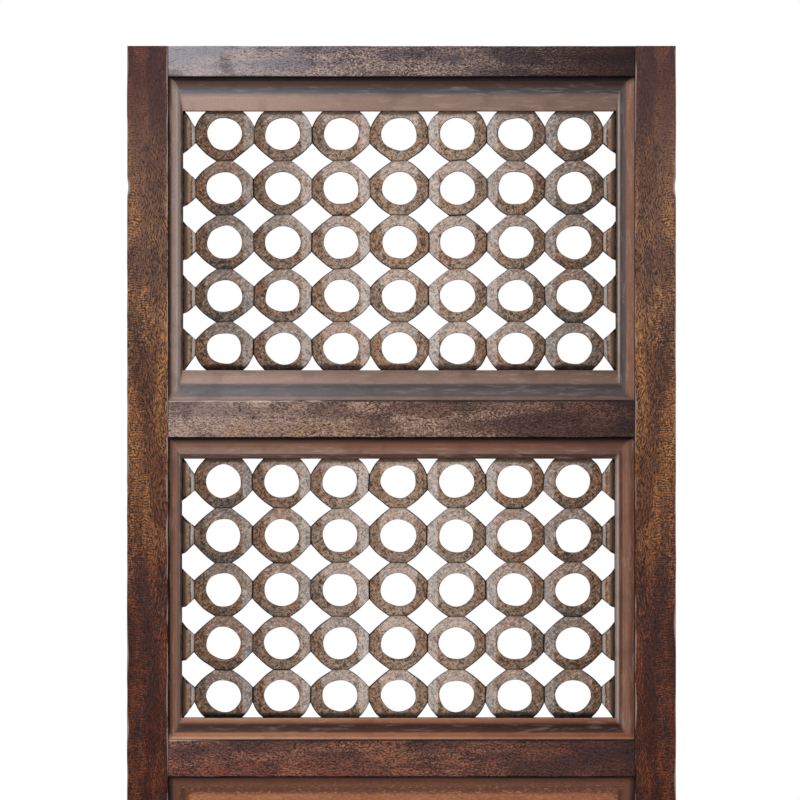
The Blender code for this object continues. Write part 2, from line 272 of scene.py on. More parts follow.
def make_plank(name, upright, across, span, grooves):
    """Carries the section from one end to the other. Its faces dip inwards by
    DIP * (1 + waver) / 2, and an upright's outer edge also has a worn hollow, a bell of
    WORN_SPOT_DEPTH. The upper front arris of the middle rails is pale from the left as far as
    WORN_AND_LIT_UNTIL gives, with wear and a painted highlight, and it is darker beyond."""
    count = round((span[1] - span[0]) / STATION_STEP) + 1
    stations = np.linspace(*span, count)
    seed = sum(map(ord, name))
    front = FRONT if upright else FRONT + RAIL_SETBACK
    depths = {edge: depth(stations) for edge, depth in grooves.items()}
    handled = STILE_HANDLED if upright else RAIL_HANDLED
    a, b, wear = plank_section(stations, *across, front, depths, handled, seed)
    place = stations[:, None]
    towards_front = np.where(b < (front + BACK) / 2, 1.0, -1.0)
    towards_high = np.where(a > sum(across) / 2, 1.0, -1.0)
    on_face = np.minimum(np.abs(b - front), np.abs(b - BACK)) < 2 * CORNER_RADIUS
    on_edge = np.minimum(np.abs(a - across[0]), np.abs(a - across[1])) < 2 * CORNER_RADIUS
    face_dip = DIP * (1 + waver(place, 3 * a, DIP_WAVELENGTH, seed + 21)) / 2
    edge_dip = DIP * (1 + waver(place, 3 * b, DIP_WAVELENGTH / 2, seed + 22)) / 2
    if upright:
        outside = np.abs(a) > (BAY_HALF_WIDTH + CAD_HIGH.x) / 2
        spot = WORN_SPOT_DEPTH * hump(place, WORN_SPOT_HEIGHT, WORN_SPOT_LENGTH)
        edge_dip = edge_dip + spot * outside
        wear = np.maximum(wear, on_edge * outside * hump(place, WORN_SPOT_HEIGHT, WORN_SPOT_RUB))
    stain = np.zeros_like(wear)
    # The upper arris is painted pale with wear and a highlight, and is darker beyond that.
    if name in WORN_AND_LIT_UNTIL:
        near_top = smooth(a, *(across[1] - radii * CORNER_RADIUS for radii in ARRIS_BAND))
        upper_arris = on_edge * on_face * near_top * (towards_front > 0)
        uneven = 1.0 + PALE_ARRIS_CHANGE * waver(place, 0, PALE_ARRIS_WAVELENGTH, seed + 23)
        worn_and_lit = np.clip(smooth(WORN_AND_LIT_UNTIL[name] - place, *PALE_ARRIS_FADE) * uneven, 0, 1)
        wear = np.maximum(wear, upper_arris * worn_and_lit)
        stain = upper_arris * (1 - worn_and_lit) * ARRIS_DARKENING
    b = b + on_face * towards_front * np.clip(face_dip, 0, None)
    a = a - on_edge * towards_high * np.clip(edge_dip, 0, None)
    along = np.broadcast_to(place, a.shape)
    points = np.stack((a, b, along) if upright else (along, b, a), -1)
    skin = Skin()
    closed = [np.concatenate([sheet, sheet[:, :1]], 1) for sheet in (points, wear, stain)]
    skin.add_sheet(closed[0], wear=closed[1], stain=closed[2])
    skin.add_cap(points[0])
    skin.add_cap(points[-1][::-1])
    piece = skin.finish(name + "_worn")
    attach(piece, "root")
    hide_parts(name)
    return piece


# %% Make the six members
SHOULDER_GAP = 0.0003


def beside_bays(height):
    """Depth of an upright's groove: full beside each bay and a little past it, else nothing."""
    inside = [(height > low - GROOVE_DEPTH) & (height < high + GROOVE_DEPTH) for low, high in BAYS]
    return GROOVE_DEPTH * np.any(inside, axis=0)


def full_length(distance):
    """Depth of a cross member's groove: the same all along."""
    return np.full(len(distance), GROOVE_DEPTH)


MEMBERS = {}
for name in STILES:
    low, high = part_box(name)
    inner_edge = 1 if low.x < 0 else -1
    across, span = (low.x, high.x), (low.z, high.z)
    MEMBERS[name] = make_plank(name, True, across, span, {inner_edge: beside_bays})
for name in RAILS:
    grooves = {}
    if name != RAILS[0]:
        grooves[1] = full_length
    if name != RAILS[-1]:
        grooves[-1] = full_length
    reach = BAY_HALF_WIDTH - SHOULDER_GAP
    MEMBERS[name] = make_plank(name, False, SPANS[name], (-reach, reach), grooves)

# %% [markdown]
# ## The moulded border
#
# A carved board has a border that steps down from the frame: a narrow flat strip, a hollow cove
# and a flat lip. One profile is carried round the bay, and its corners are mitred. The neat way
# to mitre it is to think of nested rectangles: a point on the rim of the unit square goes to the
# same place on each rectangle, so the corners line up by themselves. The outer rectangles run
# round the tongue that sits in the frame's groove. The board rests on the rail below it, so the
# open joint there is the thinnest.

# %% Carry the profile round a bay
BOARD_GAPS = np.array([0.00010, 0.00003, 0.0006])
TONGUE_REACH = 0.006
TONGUE_FRONT = 0.0085
TONGUE_BACK = 0.016
BOARD_BACK = 0.019
STRIP_DEPTH = 0.006
LIP_DEPTH = 0.004
COVE_SAG = 0.002
ROUNDING = 0.0007
STRIP_ROUNDING = 0.0003
BACK_STAIN, TONGUE_STAIN, JOINT_STAIN = 0.3, 0.6, 1.0
LIP_WEAR, ARRIS_WEAR = 0.3, 0.4
MITRE_WIDTH = 0.01


def nested(rim, bay, inset, depth, lean=0.0):
    """Points of one nested rectangle. rim is (points, 2) on the unit square's edge, from -1 to 1;
    inset is how far the rectangle lies inside the bay at the sides, bottom and top. Where the
    border is wider on one side, the middle moves over by lean times the inset."""
    side, bottom, top = inset
    low, high = bay[0] + bottom, bay[1] - top
    x = lean * max(side, 0.0) + rim[:, 0] * (BAY_HALF_WIDTH - side)
    z = (low + high) / 2 + rim[:, 1] * (high - low) / 2
    return np.stack([x, FRONT + np.broadcast_to(depth, x.shape), z], -1)


def border_profile(strips, coves, lips):
    """(inset, depth, place, stain, wear) from the tongue to the lip's inner edge. The place goes
    from 0 to 1 over the strip, to 2 over the cove and to 3 over the lip. The cove's depth is the
    line from strip to lip plus a half sine. The last part of the lip rounds over."""
    strips, coves, lips = map(np.array, (strips, coves, lips))
    reach = np.full(3, -TONGUE_REACH)
    stations = [
        (BOARD_GAPS, BOARD_BACK, 0.0, BACK_STAIN, 0.0),
        (BOARD_GAPS, TONGUE_BACK, 0.0, TONGUE_STAIN, 0.0),
        (reach, TONGUE_BACK, 0.0, TONGUE_STAIN, 0.0),
        (reach, TONGUE_FRONT, 0.0, TONGUE_STAIN, 0.0),
        (BOARD_GAPS, TONGUE_FRONT, 0.0, JOINT_STAIN, 0.0),
        (BOARD_GAPS, STRIP_DEPTH + STRIP_ROUNDING, 0.0, TONGUE_STAIN, 0.0),
        (BOARD_GAPS + STRIP_ROUNDING, STRIP_DEPTH, 0.1, 0.0, 0.0),
    ]
    for t in np.linspace(0.35, 1, 4):
        stations.append((strips * t, STRIP_DEPTH, t, 0.0, ARRIS_WEAR * smooth(t, 0.8, 1.0)))
    for t in np.linspace(0, 1, 13)[1:]:
        line = STRIP_DEPTH + (LIP_DEPTH - STRIP_DEPTH) * t
        sag = COVE_SAG * math.sin(math.pi * t)
        stations.append((strips + coves * t, line + sag, 1 + t, 0.0, 0.0))
    inner = strips + coves + lips
    if lips.any():
        for t in (0.15, 0.5, 0.8):
            wear = LIP_WEAR * (t == 0.15)
            stations.append((strips + coves + lips * t, LIP_DEPTH, 2 + t, 0.0, wear))
        for t in (0.0, 0.5, 1.0):
            back_off = ROUNDING * (1 - math.sin(t * math.pi / 2))
            drop = ROUNDING * (1 - math.cos(t * math.pi / 2))
            stations.append((inner - back_off, LIP_DEPTH + drop, 2.9 + 0.1 * t, 0.0, ARRIS_WEAR))
    return stations


def add_border(skin, rim, bay, profile, lean=0.0):
    """Its upward mark is 1 on the lower part of the border, -1 on the upper part, 0 at the sides."""
    sheets = [nested(rim, bay, inset, depth, lean) for inset, depth, _, _, _ in profile]
    place, stain, wear = np.array([station[2:] for station in profile]).T[..., None]
    on_end = smooth(np.abs(rim[:, 1]) - np.abs(rim[:, 0]), -MITRE_WIDTH, MITRE_WIDTH)
    upward = -np.sign(rim[:, 1]) * on_end
    marks = {"place": place, "stain": stain, "wear": wear, "upward": upward, "moulded": 1.0}
    skin.add_sheet(np.stack(sheets), **marks)


# %% [markdown]
# ## Laying out the lattice
#
# The carver first sawed V cuts down and across the board. They leave a block with four bevelled
# sides for each ring. A round hole goes through each block, and a four-sided hole through each
# crossing of two cuts. Blocks touch along short straight contacts, and those contacts are what
# the layout works out: where the cuts run, and how far each piercing reaches along them.

# %% Lines, centres and corners of the lattice
COLUMNS, ROWS = 7, 5
SIDE_STRIP, SIDE_COVE, SIDE_LIP = 0.0070, 0.0055, 0.0030
END_STRIP, END_COVE = 0.0055, 0.0100
STUB_WIDTH = 0.0115
STUB_BEVEL = 0.0034
END_ROW_CENTRE = 0.0209
HOLE_WIDTH, HOLE_HEIGHT = 0.0325, 0.0303
HOLE_RIM = 0.0008
NECK_WIDTH = 0.0157
WAIST_HEIGHT = 0.0168
END_NOTCH_WIDTH = 0.0197
END_NOTCH_HEIGHT = 0.0143
RING_SETBACK = 0.007
CUT_DEPTH = 0.005
# How dark the kerf of each column cut is drawn: dirt in the crevice and painted shade.
KERF_STAIN_AND_SHADE = (0.3, 1.0)
END_KERF_STAIN_AND_SHADE = 0.1


class Lattice:
    """The places of one board's cuts and piercings, all worked out from its rectangle. They are
    counted from the lattice's own middle line, which lies shift to the right of the panel's."""

    def __init__(self, bay, bottom_lip, top_lip, shift):
        self.bay, self.shift = bay, shift
        self.strips = (SIDE_STRIP, END_STRIP, END_STRIP)
        self.coves = (SIDE_COVE, END_COVE, END_COVE)
        self.lips = (SIDE_LIP, bottom_lip, top_lip)
        insets = [sum(widths) for widths in zip(self.strips, self.coves, self.lips)]
        self.lean = shift / insets[0]
        self.half_width = BAY_HALF_WIDTH - insets[0]
        self.low, self.high = bay[0] + insets[1], bay[1] - insets[2]
        first = self.half_width - STUB_WIDTH
        self.columns = np.linspace(-first, first, COLUMNS + 1)
        self.pitch = self.columns[1] - self.columns[0]
        self.centre_x = (self.columns[:-1] + self.columns[1:]) / 2
        self.centre_z = np.linspace(self.low + END_ROW_CENTRE, self.high - END_ROW_CENTRE, ROWS)
        between = (self.centre_z[:-1] + self.centre_z[1:]) / 2
        self.rows = np.concatenate([[self.low], between, [self.high]])
        self.row_pitch = self.centre_z[1] - self.centre_z[0]
        half_tall = (self.row_pitch - WAIST_HEIGHT) / 2
        reach = np.array([END_NOTCH_HEIGHT] + [half_tall] * (ROWS - 1) + [END_NOTCH_HEIGHT])
        self.contact_low = (self.rows + reach)[:-1]
        self.contact_high = (self.rows - reach)[1:]
        plain, end = NECK_WIDTH / 2, (self.pitch - END_NOTCH_WIDTH) / 2
        self.half_neck = np.array([end] + [plain] * (ROWS - 1) + [end])
        clipped = 1 - STUB_WIDTH / ((self.pitch - NECK_WIDTH) / 2)
        self.half_at_border = half_tall * clipped
        rng = np.random.default_rng(int(-1000 * self.low))
        self.kerf_stain = rng.uniform(*KERF_STAIN_AND_SHADE, (COLUMNS + 1, ROWS))
        self.kerf_stain[[0, -1]] = END_KERF_STAIN_AND_SHADE
        self.seam_stain = rng.uniform(0.0, 1.0, (ROWS + 1, COLUMNS)) ** 3

    def cut_shares(self, x, z):
        """How far a point is up the bevels: 0 in a column cut or a row cut, 1 or more on the
        flat. Each is the distance to the nearest cut over the width of that cut's bevel."""
        edge = self.columns[-1]
        bevel = self.pitch / 2 - HOLE_WIDTH / 2 - HOLE_RIM
        ring = np.abs(x[..., None] - self.columns).min(-1) / bevel
        stub = np.minimum(np.abs(x) - edge, self.half_width - np.abs(x)) / STUB_BEVEL
        across = np.where(np.abs(x) > edge, stub, ring)
        flat = HOLE_HEIGHT / 2 + HOLE_RIM
        inner = np.abs(z[..., None] - self.rows[1:-1]).min(-1) / (self.row_pitch / 2 - flat)
        border = np.minimum(z - self.low, self.high - z) / (END_ROW_CENTRE - flat)
        return across, np.minimum(inner, border)


def soft_least(a, b, blend):
    """The smaller of a and b, rounded where they cross: min - h * h * blend / 4, where h falls
    from 1 at the crossing to 0 where they differ by blend."""
    h = np.clip(blend - np.abs(a - b), 0, None) / blend
    return np.minimum(a, b) - h * h * blend / 4


LATTICES = {
    "upper_lattice": Lattice(BAYS[0], 0.0125, 0.0165, -0.0020),
    "lower_lattice": Lattice(BAYS[1], 0.0045, 0.0045, -0.0030),
}
for name, lattice in LATTICES.items():
    print(f"{name}: column pitch {1000 * lattice.pitch:.2f}, row pitch {1000 * lattice.row_pitch:.2f}")

# %% [markdown]
# ## The height and the marks of the carving
#
# The carved ground is a height over the plane. The lowest of two shares decides which bevel a
# point is on, and the carving is that share times the depth of the cut. Rounding the minimum
# softens the arrises as wear does. A saw kerf deepens the bottom of each column cut, and wavering
# shallow scoops stand for the marks of the gouge.

# %% Depth, facing and stain over the lattice
RIDGE_BLEND = 0.10
MITRE_BLEND = 0.06
KERF_DEPTH = 0.0012
KERF_HALF_WIDTH = 0.0006
SCOOP_DEPTH = 0.00022
SCOOP_WAVELENGTH = 0.006
SAG_DEPTH = 0.00035
SAG_WAVELENGTH = 0.03
STUB_FACET = 0.0042
# A stub's facet that looks to the middle is marked for a painted sheen.
STUB_PALE = 2.2            # more than 1, so that the finish knows a stub's pale facet
BEVEL_BLEND = 0.04
FLAT_FROM = 0.92
KERF_STAIN_AND_SHADE_EDGE = (0.0002, 0.0011)
SEAM_STAIN_EDGE = (0.0002, 0.0010)
FOOT_SHARE = 0.35
FOOT_STAIN, FOOT_STAIN_AND_SHADE_ABOVE = 0.3, 0.55
SIDE_SHADE, SIDE_SHADE_EDGE = 0.68, (0.0042, 0.0052)
SILL_SHADE, SILL_SHADE_EDGE = 0.48, (0.0040, 0.0085)
TOP_FADE = 0.007
FACET_EDGE = 0.0004


def carved_depth(lattice, x, z, seed):
    """The setback of the flats, plus CUT_DEPTH times what a point lacks of being up its bevel,
    plus a V-shaped kerf at each column cut, the gouge's scoops and a slow sag."""
    across, upwards = lattice.cut_shares(x, z)
    share = soft_least(soft_least(across, upwards, MITRE_BLEND), 1.0, RIDGE_BLEND)
    gap = np.abs(x[..., None] - lattice.columns).min(-1)
    kerf = KERF_DEPTH * np.clip(1 - gap / KERF_HALF_WIDTH, 0, 1)
    scoops = SCOOP_DEPTH * waver(x, z, SCOOP_WAVELENGTH, seed)
    sag = SAG_DEPTH * waver(x, z, SAG_WAVELENGTH, seed + 1)
    return RING_SETBACK + CUT_DEPTH * (1 - np.clip(share, 0, 1)) + kerf + scoops + sag


def carved_marks(lattice, x, z):
    """facing is 1 on bevels that look towards the middle of the panel and -1 on those that look
    outwards. upward is 1 on bevels that look up and -1 on those that look down. On the flat round
    a hole both fade in towards its outer side and its top, where the bevels blend into it. The
    finish paints light and shade by these two marks. A stub's facet beside the last column cut has
    a facing of STUB_PALE, for its painted sheen, and the rest of the stub is worn. All that lies
    just under the upper border is marked as worn too, which paints it lighter against the lip's
    shade: painted light. stain is the most of what lies in the kerfs (dirt and painted shade), in
    the seams between rows, at the foot of the bevels (dirt, and painted shade on those that look
    down), and of the painted shade along the sides under the lip and above the lower border."""
    across, upwards = lattice.cut_shares(x, z)
    on_side = smooth(upwards - across, -BEVEL_BLEND, BEVEL_BLEND) * (1 - smooth(across, FLAT_FROM, 1.0))
    on_end = smooth(across - upwards, -BEVEL_BLEND, BEVEL_BLEND) * (1 - smooth(upwards, FLAT_FROM, 1.0))
    from_cut = np.abs(x[..., None] - lattice.columns)
    line, gap = from_cut.argmin(-1), from_cut.min(-1)
    looks = np.where(x > lattice.columns[line], -1.0, 1.0)
    past_line = np.abs(x) - np.abs(lattice.columns[-1])
    looks = np.where(past_line > 0, STUB_PALE * looks, looks) * (past_line < STUB_FACET)
    from_row = np.abs(z[..., None] - lattice.rows)
    row, height = from_row.argmin(-1), from_row.min(-1)
    upward = np.where(z > lattice.rows[row], -1.0, 1.0)
    i = np.abs(x[..., None] - lattice.centre_x).argmin(-1)
    j = np.abs(z[..., None] - lattice.centre_z).argmin(-1)
    beside = (x - lattice.centre_x[i]) * np.sign(x) / (HOLE_WIDTH / 2)
    above = (z - lattice.centre_z[j]) / (HOLE_HEIGHT / 2)
    least = np.minimum(across, upwards)
    flat = smooth(least, FLAT_FROM, 1.0)
    facing = -looks * np.sign(x) * on_side
    facing = facing - flat * smooth(beside, 0.1, 0.9) * (1 - smooth(above, 0.3, 1.0))
    # Kerfs: dirt and painted shade at the bottom of each column cut.
    kerf = (1 - smooth(gap, *KERF_STAIN_AND_SHADE_EDGE)) * lattice.kerf_stain[line, j]
    seam = (1 - smooth(height, *SEAM_STAIN_EDGE)) * lattice.seam_stain[row, i]
    # The foot of each bevel is darkened by dirt, and more on bevels that look down: painted shade.
    foot_stain = np.where(upward * on_end < -0.5, FOOT_STAIN_AND_SHADE_ABOVE, FOOT_STAIN)
    foot = (1 - smooth(least, 0.0, FOOT_SHARE)) * foot_stain
    # Painted shade along the sides, under the lip of the border.
    shade_at_side = SIDE_SHADE * (1 - smooth(lattice.half_width - np.abs(x), *SIDE_SHADE_EDGE))
    # Just under the upper border the dark fades out and the wear mark rises: painted light that lifts
    # the lip's shade.
    below_top = smooth(lattice.high - z, 0.0, TOP_FADE)
    # Painted shade on the lowest row, just above the lower border.
    shade_at_sill = SILL_SHADE * (1 - smooth(z - lattice.low, *SILL_SHADE_EDGE))
    past_facet = smooth(past_line, STUB_FACET, STUB_FACET + FACET_EDGE)
    return {
        "facing": facing,
        "upward": upward * on_end + flat * smooth(above, 0.2, 0.9),
        "stain": np.max([kerf, seam * below_top, foot * below_top, shade_at_side, shade_at_sill], 0),
        "wear": np.maximum(past_facet, 1 - below_top),
    }


# %% [markdown]
# ## One ring
#
# A ring is a sheet with two parameters: one runs round it and the other from the hole to the
# outline. The outline is eight straight sides, four of them contacts with the neighbours and four
# along the piercings. Neighbours walk the same contact with the same number of steps, so their
# points coincide. The hole is an ellipse with a few small flats left by the rasp.

# %% Front, walls and back of a ring
CONTACT_STEPS = 10
DIAGONAL_STEPS = 12
RADIAL = np.array([0, 0.03, 0.07, 0.14, 0.23, 0.33, 0.44, 0.56, 0.67, 0.77, 0.86, 0.93, 0.97, 1.0])
ARRIS_DROP = 0.0005
ARRIS_WIDTH = 0.06
DIAGONAL_BULGE = 0.0009
HOLE_WAVER = 0.00035
WALL_SHARES = np.array([0, 0.08, 0.35, 0.7, 1.0])
# Piercing walls are drawn dark: dirt and painted shade in the openings.
WALL_STAIN_AND_SHADE = 0.75
RIM_STAIN = 0.5
# A ring's outer edge carries some dirt all round, and painted shade where it looks outwards or down.
LEAST_EDGE_STAIN, UNDER_EDGE_SHADE = 0.4, 0.8
EDGE_STAIN_AND_SHADE_WIDTH = 2.6 * ARRIS_WIDTH
RING_WEAR = 0.8
BACK_LOOPS = [0, 6, -1]    # the steps of RADIAL that the plain back keeps
SEED_COLUMN_STEP, SEED_ROW_STEP = 7, 31


def straight(start, end, steps):
    """steps + 1 points from start to end, in even steps."""
    t = np.linspace(0, 1, steps + 1)[:, None]
    return np.array(start) * (1 - t) + np.array(end) * t


def ring_sides(lattice, i, j):
    """The eight sides of ring (column i, row j), anticlockwise from its right-hand contact, as
    (points, is it along a piercing). A piercing's side bulges by half a sine."""
    left, right = lattice.columns[i], lattice.columns[i + 1]
    x = lattice.centre_x[i]
    low, high = lattice.contact_low[j], lattice.contact_high[j]
    bottom, top = lattice.rows[j], lattice.rows[j + 1]
    below, above = lattice.half_neck[j], lattice.half_neck[j + 1]
    corners = [
        (right, low), (right, high), (x + above, top), (x - above, top),
        (left, high), (left, low), (x - below, bottom), (x + below, bottom),
    ]
    centre = np.array([x, lattice.centre_z[j]])
    sides = []
    for k, start in enumerate(corners):
        end = corners[(k + 1) % 8]
        pierced = k % 2 == 1
        points = straight(start, end, DIAGONAL_STEPS if pierced else CONTACT_STEPS)
        if pierced:
            outwards = points.mean(0) - centre
            outwards /= np.hypot(*outwards)
            swell = np.sin(np.linspace(0, np.pi, len(points)))[:, None]
            points = points + DIAGONAL_BULGE * swell * outwards
        sides.append((points, pierced))
    return sides


def hole_edge(lattice, i, j, outline, seed):
    """The point of the hole's edge that lies straight between each outline point and the centre.
    Its distance from the centre wavers with the angle, in waves of 2 to 7 to the turn."""
    centre = np.array([lattice.centre_x[i], lattice.centre_z[j]])
    half = np.array([HOLE_WIDTH, HOLE_HEIGHT]) / 2
    direction = (outline - centre) / half
    direction /= np.linalg.norm(direction, axis=-1, keepdims=True)
    turn = np.arctan2(direction[:, 1], direction[:, 0])
    rng = np.random.default_rng(seed)
    ripple = sum(rng.normal() / n * np.cos(n * turn + rng.uniform(0, 6.3)) for n in range(2, 8))
    return centre + direction * (half + HOLE_WAVER * ripple[:, None])


def on_front(lattice, x, z, drop, seed):
    """Points of the carved front, each lowered by its own drop."""
    depth = carved_depth(lattice, x, z, seed) + drop
    return np.stack([x, FRONT + depth, z], -1)


def add_wall(skin, edge):
    """A piercing's wall: each point of the front edge goes straight back to the board's back."""
    back = edge.copy()
    back[:, 1] = FRONT + BOARD_BACK
    share = WALL_SHARES[:, None, None]
    skin.add_sheet(edge * (1 - share) + back * share, stain=WALL_STAIN_AND_SHADE)


def outward_edge(normal_x, x):
    """1 where an edge looks away from the middle of the panel, where painted shade darkens it."""
    return smooth(normal_x * np.sign(x), 0.1, 0.5)


def add_ring(skin, lattice, i, j, seed):
    """Front, walls and back of ring (column i, row j). flat = hole * (1 - t) + outline * t, with t
    from 0 at the hole to 1 at the outline. Dirt darkens the outer edge a little all round, and
    painted shade darkens it more where it looks outwards or down. Dirt also darkens the hole's
    edge, except on the side that lies outwards."""
    sides = ring_sides(lattice, i, j)
    outline = np.concatenate([points[:-1] for points, _ in sides])
    outline = np.concatenate([outline, outline[:1]])
    pierced = np.concatenate([np.full(len(points) - 1, flag) for points, flag in sides])
    pierced = pierced | np.roll(pierced, 1)
    pierced = np.append(pierced, pierced[0])
    hole = hole_edge(lattice, i, j, outline, seed + SEED_COLUMN_STEP * i + SEED_ROW_STEP * j)
    t = RADIAL[:, None]
    flat = hole * (1 - t[..., None]) + outline * t[..., None]
    x, z = flat[..., 0], flat[..., 1]
    inner = np.clip(1 - t / ARRIS_WIDTH, 0, 1) ** 2 * np.ones_like(x)
    outer = np.clip(1 - (1 - t) / ARRIS_WIDTH, 0, 1) ** 2 * pierced
    front = on_front(lattice, x, z, ARRIS_DROP * (inner + outer), seed)
    marks = carved_marks(lattice, x, z)
    away = flat[-1] - np.array([lattice.centre_x[i], lattice.centre_z[j]])
    away /= np.hypot(*away.T)[:, None]
    outwards = outward_edge(away[:, 0], flat[-1, :, 0])
    downwards = UNDER_EDGE_SHADE * smooth(-away[:, 1], 0.2, 0.7)
    side = np.maximum(np.maximum(outwards, downwards), LEAST_EDGE_STAIN)
    edge_stain = np.clip(1 - (1 - t) / EDGE_STAIN_AND_SHADE_WIDTH, 0, 1) * pierced * side
    rim_stain = RIM_STAIN * np.clip(1 - t / ARRIS_WIDTH, 0, 1) * (1 - outwards)
    marks["stain"] = np.max([marks["stain"], edge_stain, rim_stain], 0)
    marks["wear"] = np.max([marks["wear"], RING_WEAR * inner, RING_WEAR * outer * (1 - side)], 0)
    skin.add_sheet(front, **marks)
    add_wall(skin, front[0])
    start = 0
    for points, flag in sides:
        stop = start + len(points) - 1
        if flag:
            add_wall(skin, front[-1, start:stop + 1])
        start = stop
    x, z = x[BACK_LOOPS], z[BACK_LOOPS]
    behind = np.stack([x, np.full_like(x, FRONT + BOARD_BACK), z], -1)
    skin.add_sheet(behind, stain=BACK_STAIN)


# %% [markdown]
# ## The stubs at the sides
#
# Between the last column cut and the border stands a short stub, with no hole of its own. It is a
# ruled sheet: one parameter runs across it, and the other climbs from its lower outline to its
# upper one.

# %% Stubs and the foot of the border
NOTCH_BASE = STUB_WIDTH - END_NOTCH_WIDTH / 2
LAST_STUB_SHARE = 0.965
STUB_SHARES = np.insert(np.linspace(0, 1, 9), 8, LAST_STUB_SHARE)
STUB_X = NOTCH_BASE + (STUB_WIDTH - NOTCH_BASE) * STUB_SHARES
STUB_X = np.concatenate([[0, NOTCH_BASE / 2], STUB_X])
CONTACT_END = 2            # the step of STUB_X where the notch of the border begins
STUB_WEAR = 0.5


def stub_outline(lattice, line, upper):
    """Height of a stub's lower or upper outline at each of STUB_X, counted from the border. At
    the border row it is the border and then the notch, elsewhere the side of a piercing."""
    sign = -1 if upper else 1
    if line in (0, ROWS):
        rise = np.clip((STUB_X - NOTCH_BASE) / (STUB_WIDTH - NOTCH_BASE), 0, 1) * END_NOTCH_HEIGHT
    else:
        tall = (lattice.row_pitch - WAIST_HEIGHT) / 2
        rise = lattice.half_at_border + (tall - lattice.half_at_border) * STUB_X / STUB_WIDTH
    return lattice.rows[line] + sign * rise


def add_stub(skin, lattice, side, j, seed):
    """Front, walls and back of the stub beside row j: z = lower * (1 - t) + upper * t."""
    x = side * (lattice.half_width - STUB_X)
    lower, upper = stub_outline(lattice, j, False), stub_outline(lattice, j + 1, True)
    t = np.linspace(0, 1, CONTACT_STEPS + 1)[:, None]
    z = lower * (1 - t) + upper * t
    x = np.broadcast_to(x, z.shape)
    everywhere, in_notch = np.ones(len(STUB_X)), np.arange(len(STUB_X)) >= CONTACT_END
    pierced_low = everywhere if j else in_notch
    pierced_high = everywhere if j < ROWS - 1 else in_notch
    drop = np.zeros_like(z)
    drop[0], drop[-1] = pierced_low, pierced_high
    front = on_front(lattice, x, z, ARRIS_DROP * drop, seed)
    marks = carved_marks(lattice, x, z)
    marks["wear"] = np.maximum(marks["wear"], STUB_WEAR * drop)
    skin.add_sheet(front, **marks)
    for edge, is_pierced in ((front[0], pierced_low), (front[-1], pierced_high)):
        begin = int(np.argmax(is_pierced > 0))
        add_wall(skin, edge[begin:])
    behind = np.stack([x, np.full_like(z, FRONT + BOARD_BACK), z], -1)
    skin.add_sheet(behind, stain=BACK_STAIN)


def border_foot(lattice):
    """Every point where the carving meets the border, anticlockwise from the lower left corner,
    as lists of (points, is there a piercing). Between two rings or stubs lies a piercing."""
    hw, low, high = lattice.half_width, lattice.low, lattice.high
    runs = []
    for z, direction in ((low, 1), (high, -1)):
        stub = np.stack([-hw + STUB_X[:CONTACT_END + 1], np.full(CONTACT_END + 1, z)], -1)
        across = [(stub, False)]
        for i in range(COLUMNS):
            centre = lattice.centre_x[i]
            half = lattice.half_neck[0]
            start = across[-1][0][-1]
            across.append((straight(start, (centre - half, z), CONTACT_STEPS), True))
            across.append((straight((centre - half, z), (centre + half, z), CONTACT_STEPS), False))
        last = stub[::-1] * (-1, 1)
        across.append((straight(across[-1][0][-1], last[0], CONTACT_STEPS), True))
        across.append((last, False))
        runs.append(across if direction > 0 else [(p[::-1], flag) for p, flag in across[::-1]])
    upwards = []
    for j in range(ROWS):
        bottom = low if j == 0 else lattice.rows[j] + lattice.half_at_border
        top = high if j == ROWS - 1 else lattice.rows[j + 1] - lattice.half_at_border
        upwards.append((straight((hw, bottom), (hw, top), CONTACT_STEPS), False))
        if j < ROWS - 1:
            after = lattice.rows[j + 1] + lattice.half_at_border
            upwards.append((straight((hw, top), (hw, after), CONTACT_STEPS // 2), True))
    downwards = [((p * (-1, 1))[::-1], flag) for p, flag in upwards[::-1]]
    return runs[0] + upwards + runs[1] + downwards


# %% [markdown]
# ## Closing the carved boards
#
# The foot of the border drops from the lip to the carving, and goes right through the board
# where a piercing meets it. Last, all points inside the border are pushed about a little by one
# wavering field, because no two rings of a hand-cut lattice are quite alike.

# %% Make both lattice boards
LIP_BOTTOM = LIP_DEPTH + ROUNDING
STEP_SHARES = np.array([0, 0.3, 0.65, 1.0])
STEP_SHADE = 0.9
BACK_SHARES = np.array([0, 0.5, 0.92, 1.0])
DRIFT = 0.0004
DRIFT_WAVELENGTH = 0.028
DRIFT_FADE = 0.004
ROW_SAG = 0.0017


def add_foot(skin, lattice, seed):
    """The wall from the lip down to the carving, and on to the back where it is pierced. Returns
    all points of the foot, as places on the unit square."""
    size = np.array([lattice.half_width, (lattice.high - lattice.low) / 2])
    centre = np.array([0, (lattice.high + lattice.low) / 2])
    rim = []
    runs = border_foot(lattice)
    for k, (points, pierced) in enumerate(runs):
        x, z = points.T
        depth = carved_depth(lattice, x, z, seed)
        top = np.stack([x, np.full_like(x, FRONT + LIP_BOTTOM), z], -1)
        foot = np.stack([x, FRONT + depth, z], -1)
        ends = np.full(len(x), float(pierced))
        ends[0] = max(pierced, runs[k - 1][1])
        ends[-1] = max(pierced, runs[(k + 1) % len(runs)][1])
        foot[:, 1] += ARRIS_DROP * ends
        share = STEP_SHARES[:, None, None]
        # Painted shade darkens the step wall below the lip.
        stain = STEP_SHADE * smooth(STEP_SHARES, 0.1, 0.6)[:, None]
        skin.add_sheet(top * (1 - share) + foot * share, stain=stain)
        if pierced:
            add_wall(skin, foot)
        rim.append(((points - centre) / size)[:-1])
    rim = np.concatenate(rim)
    return np.concatenate([rim, rim[:1]])


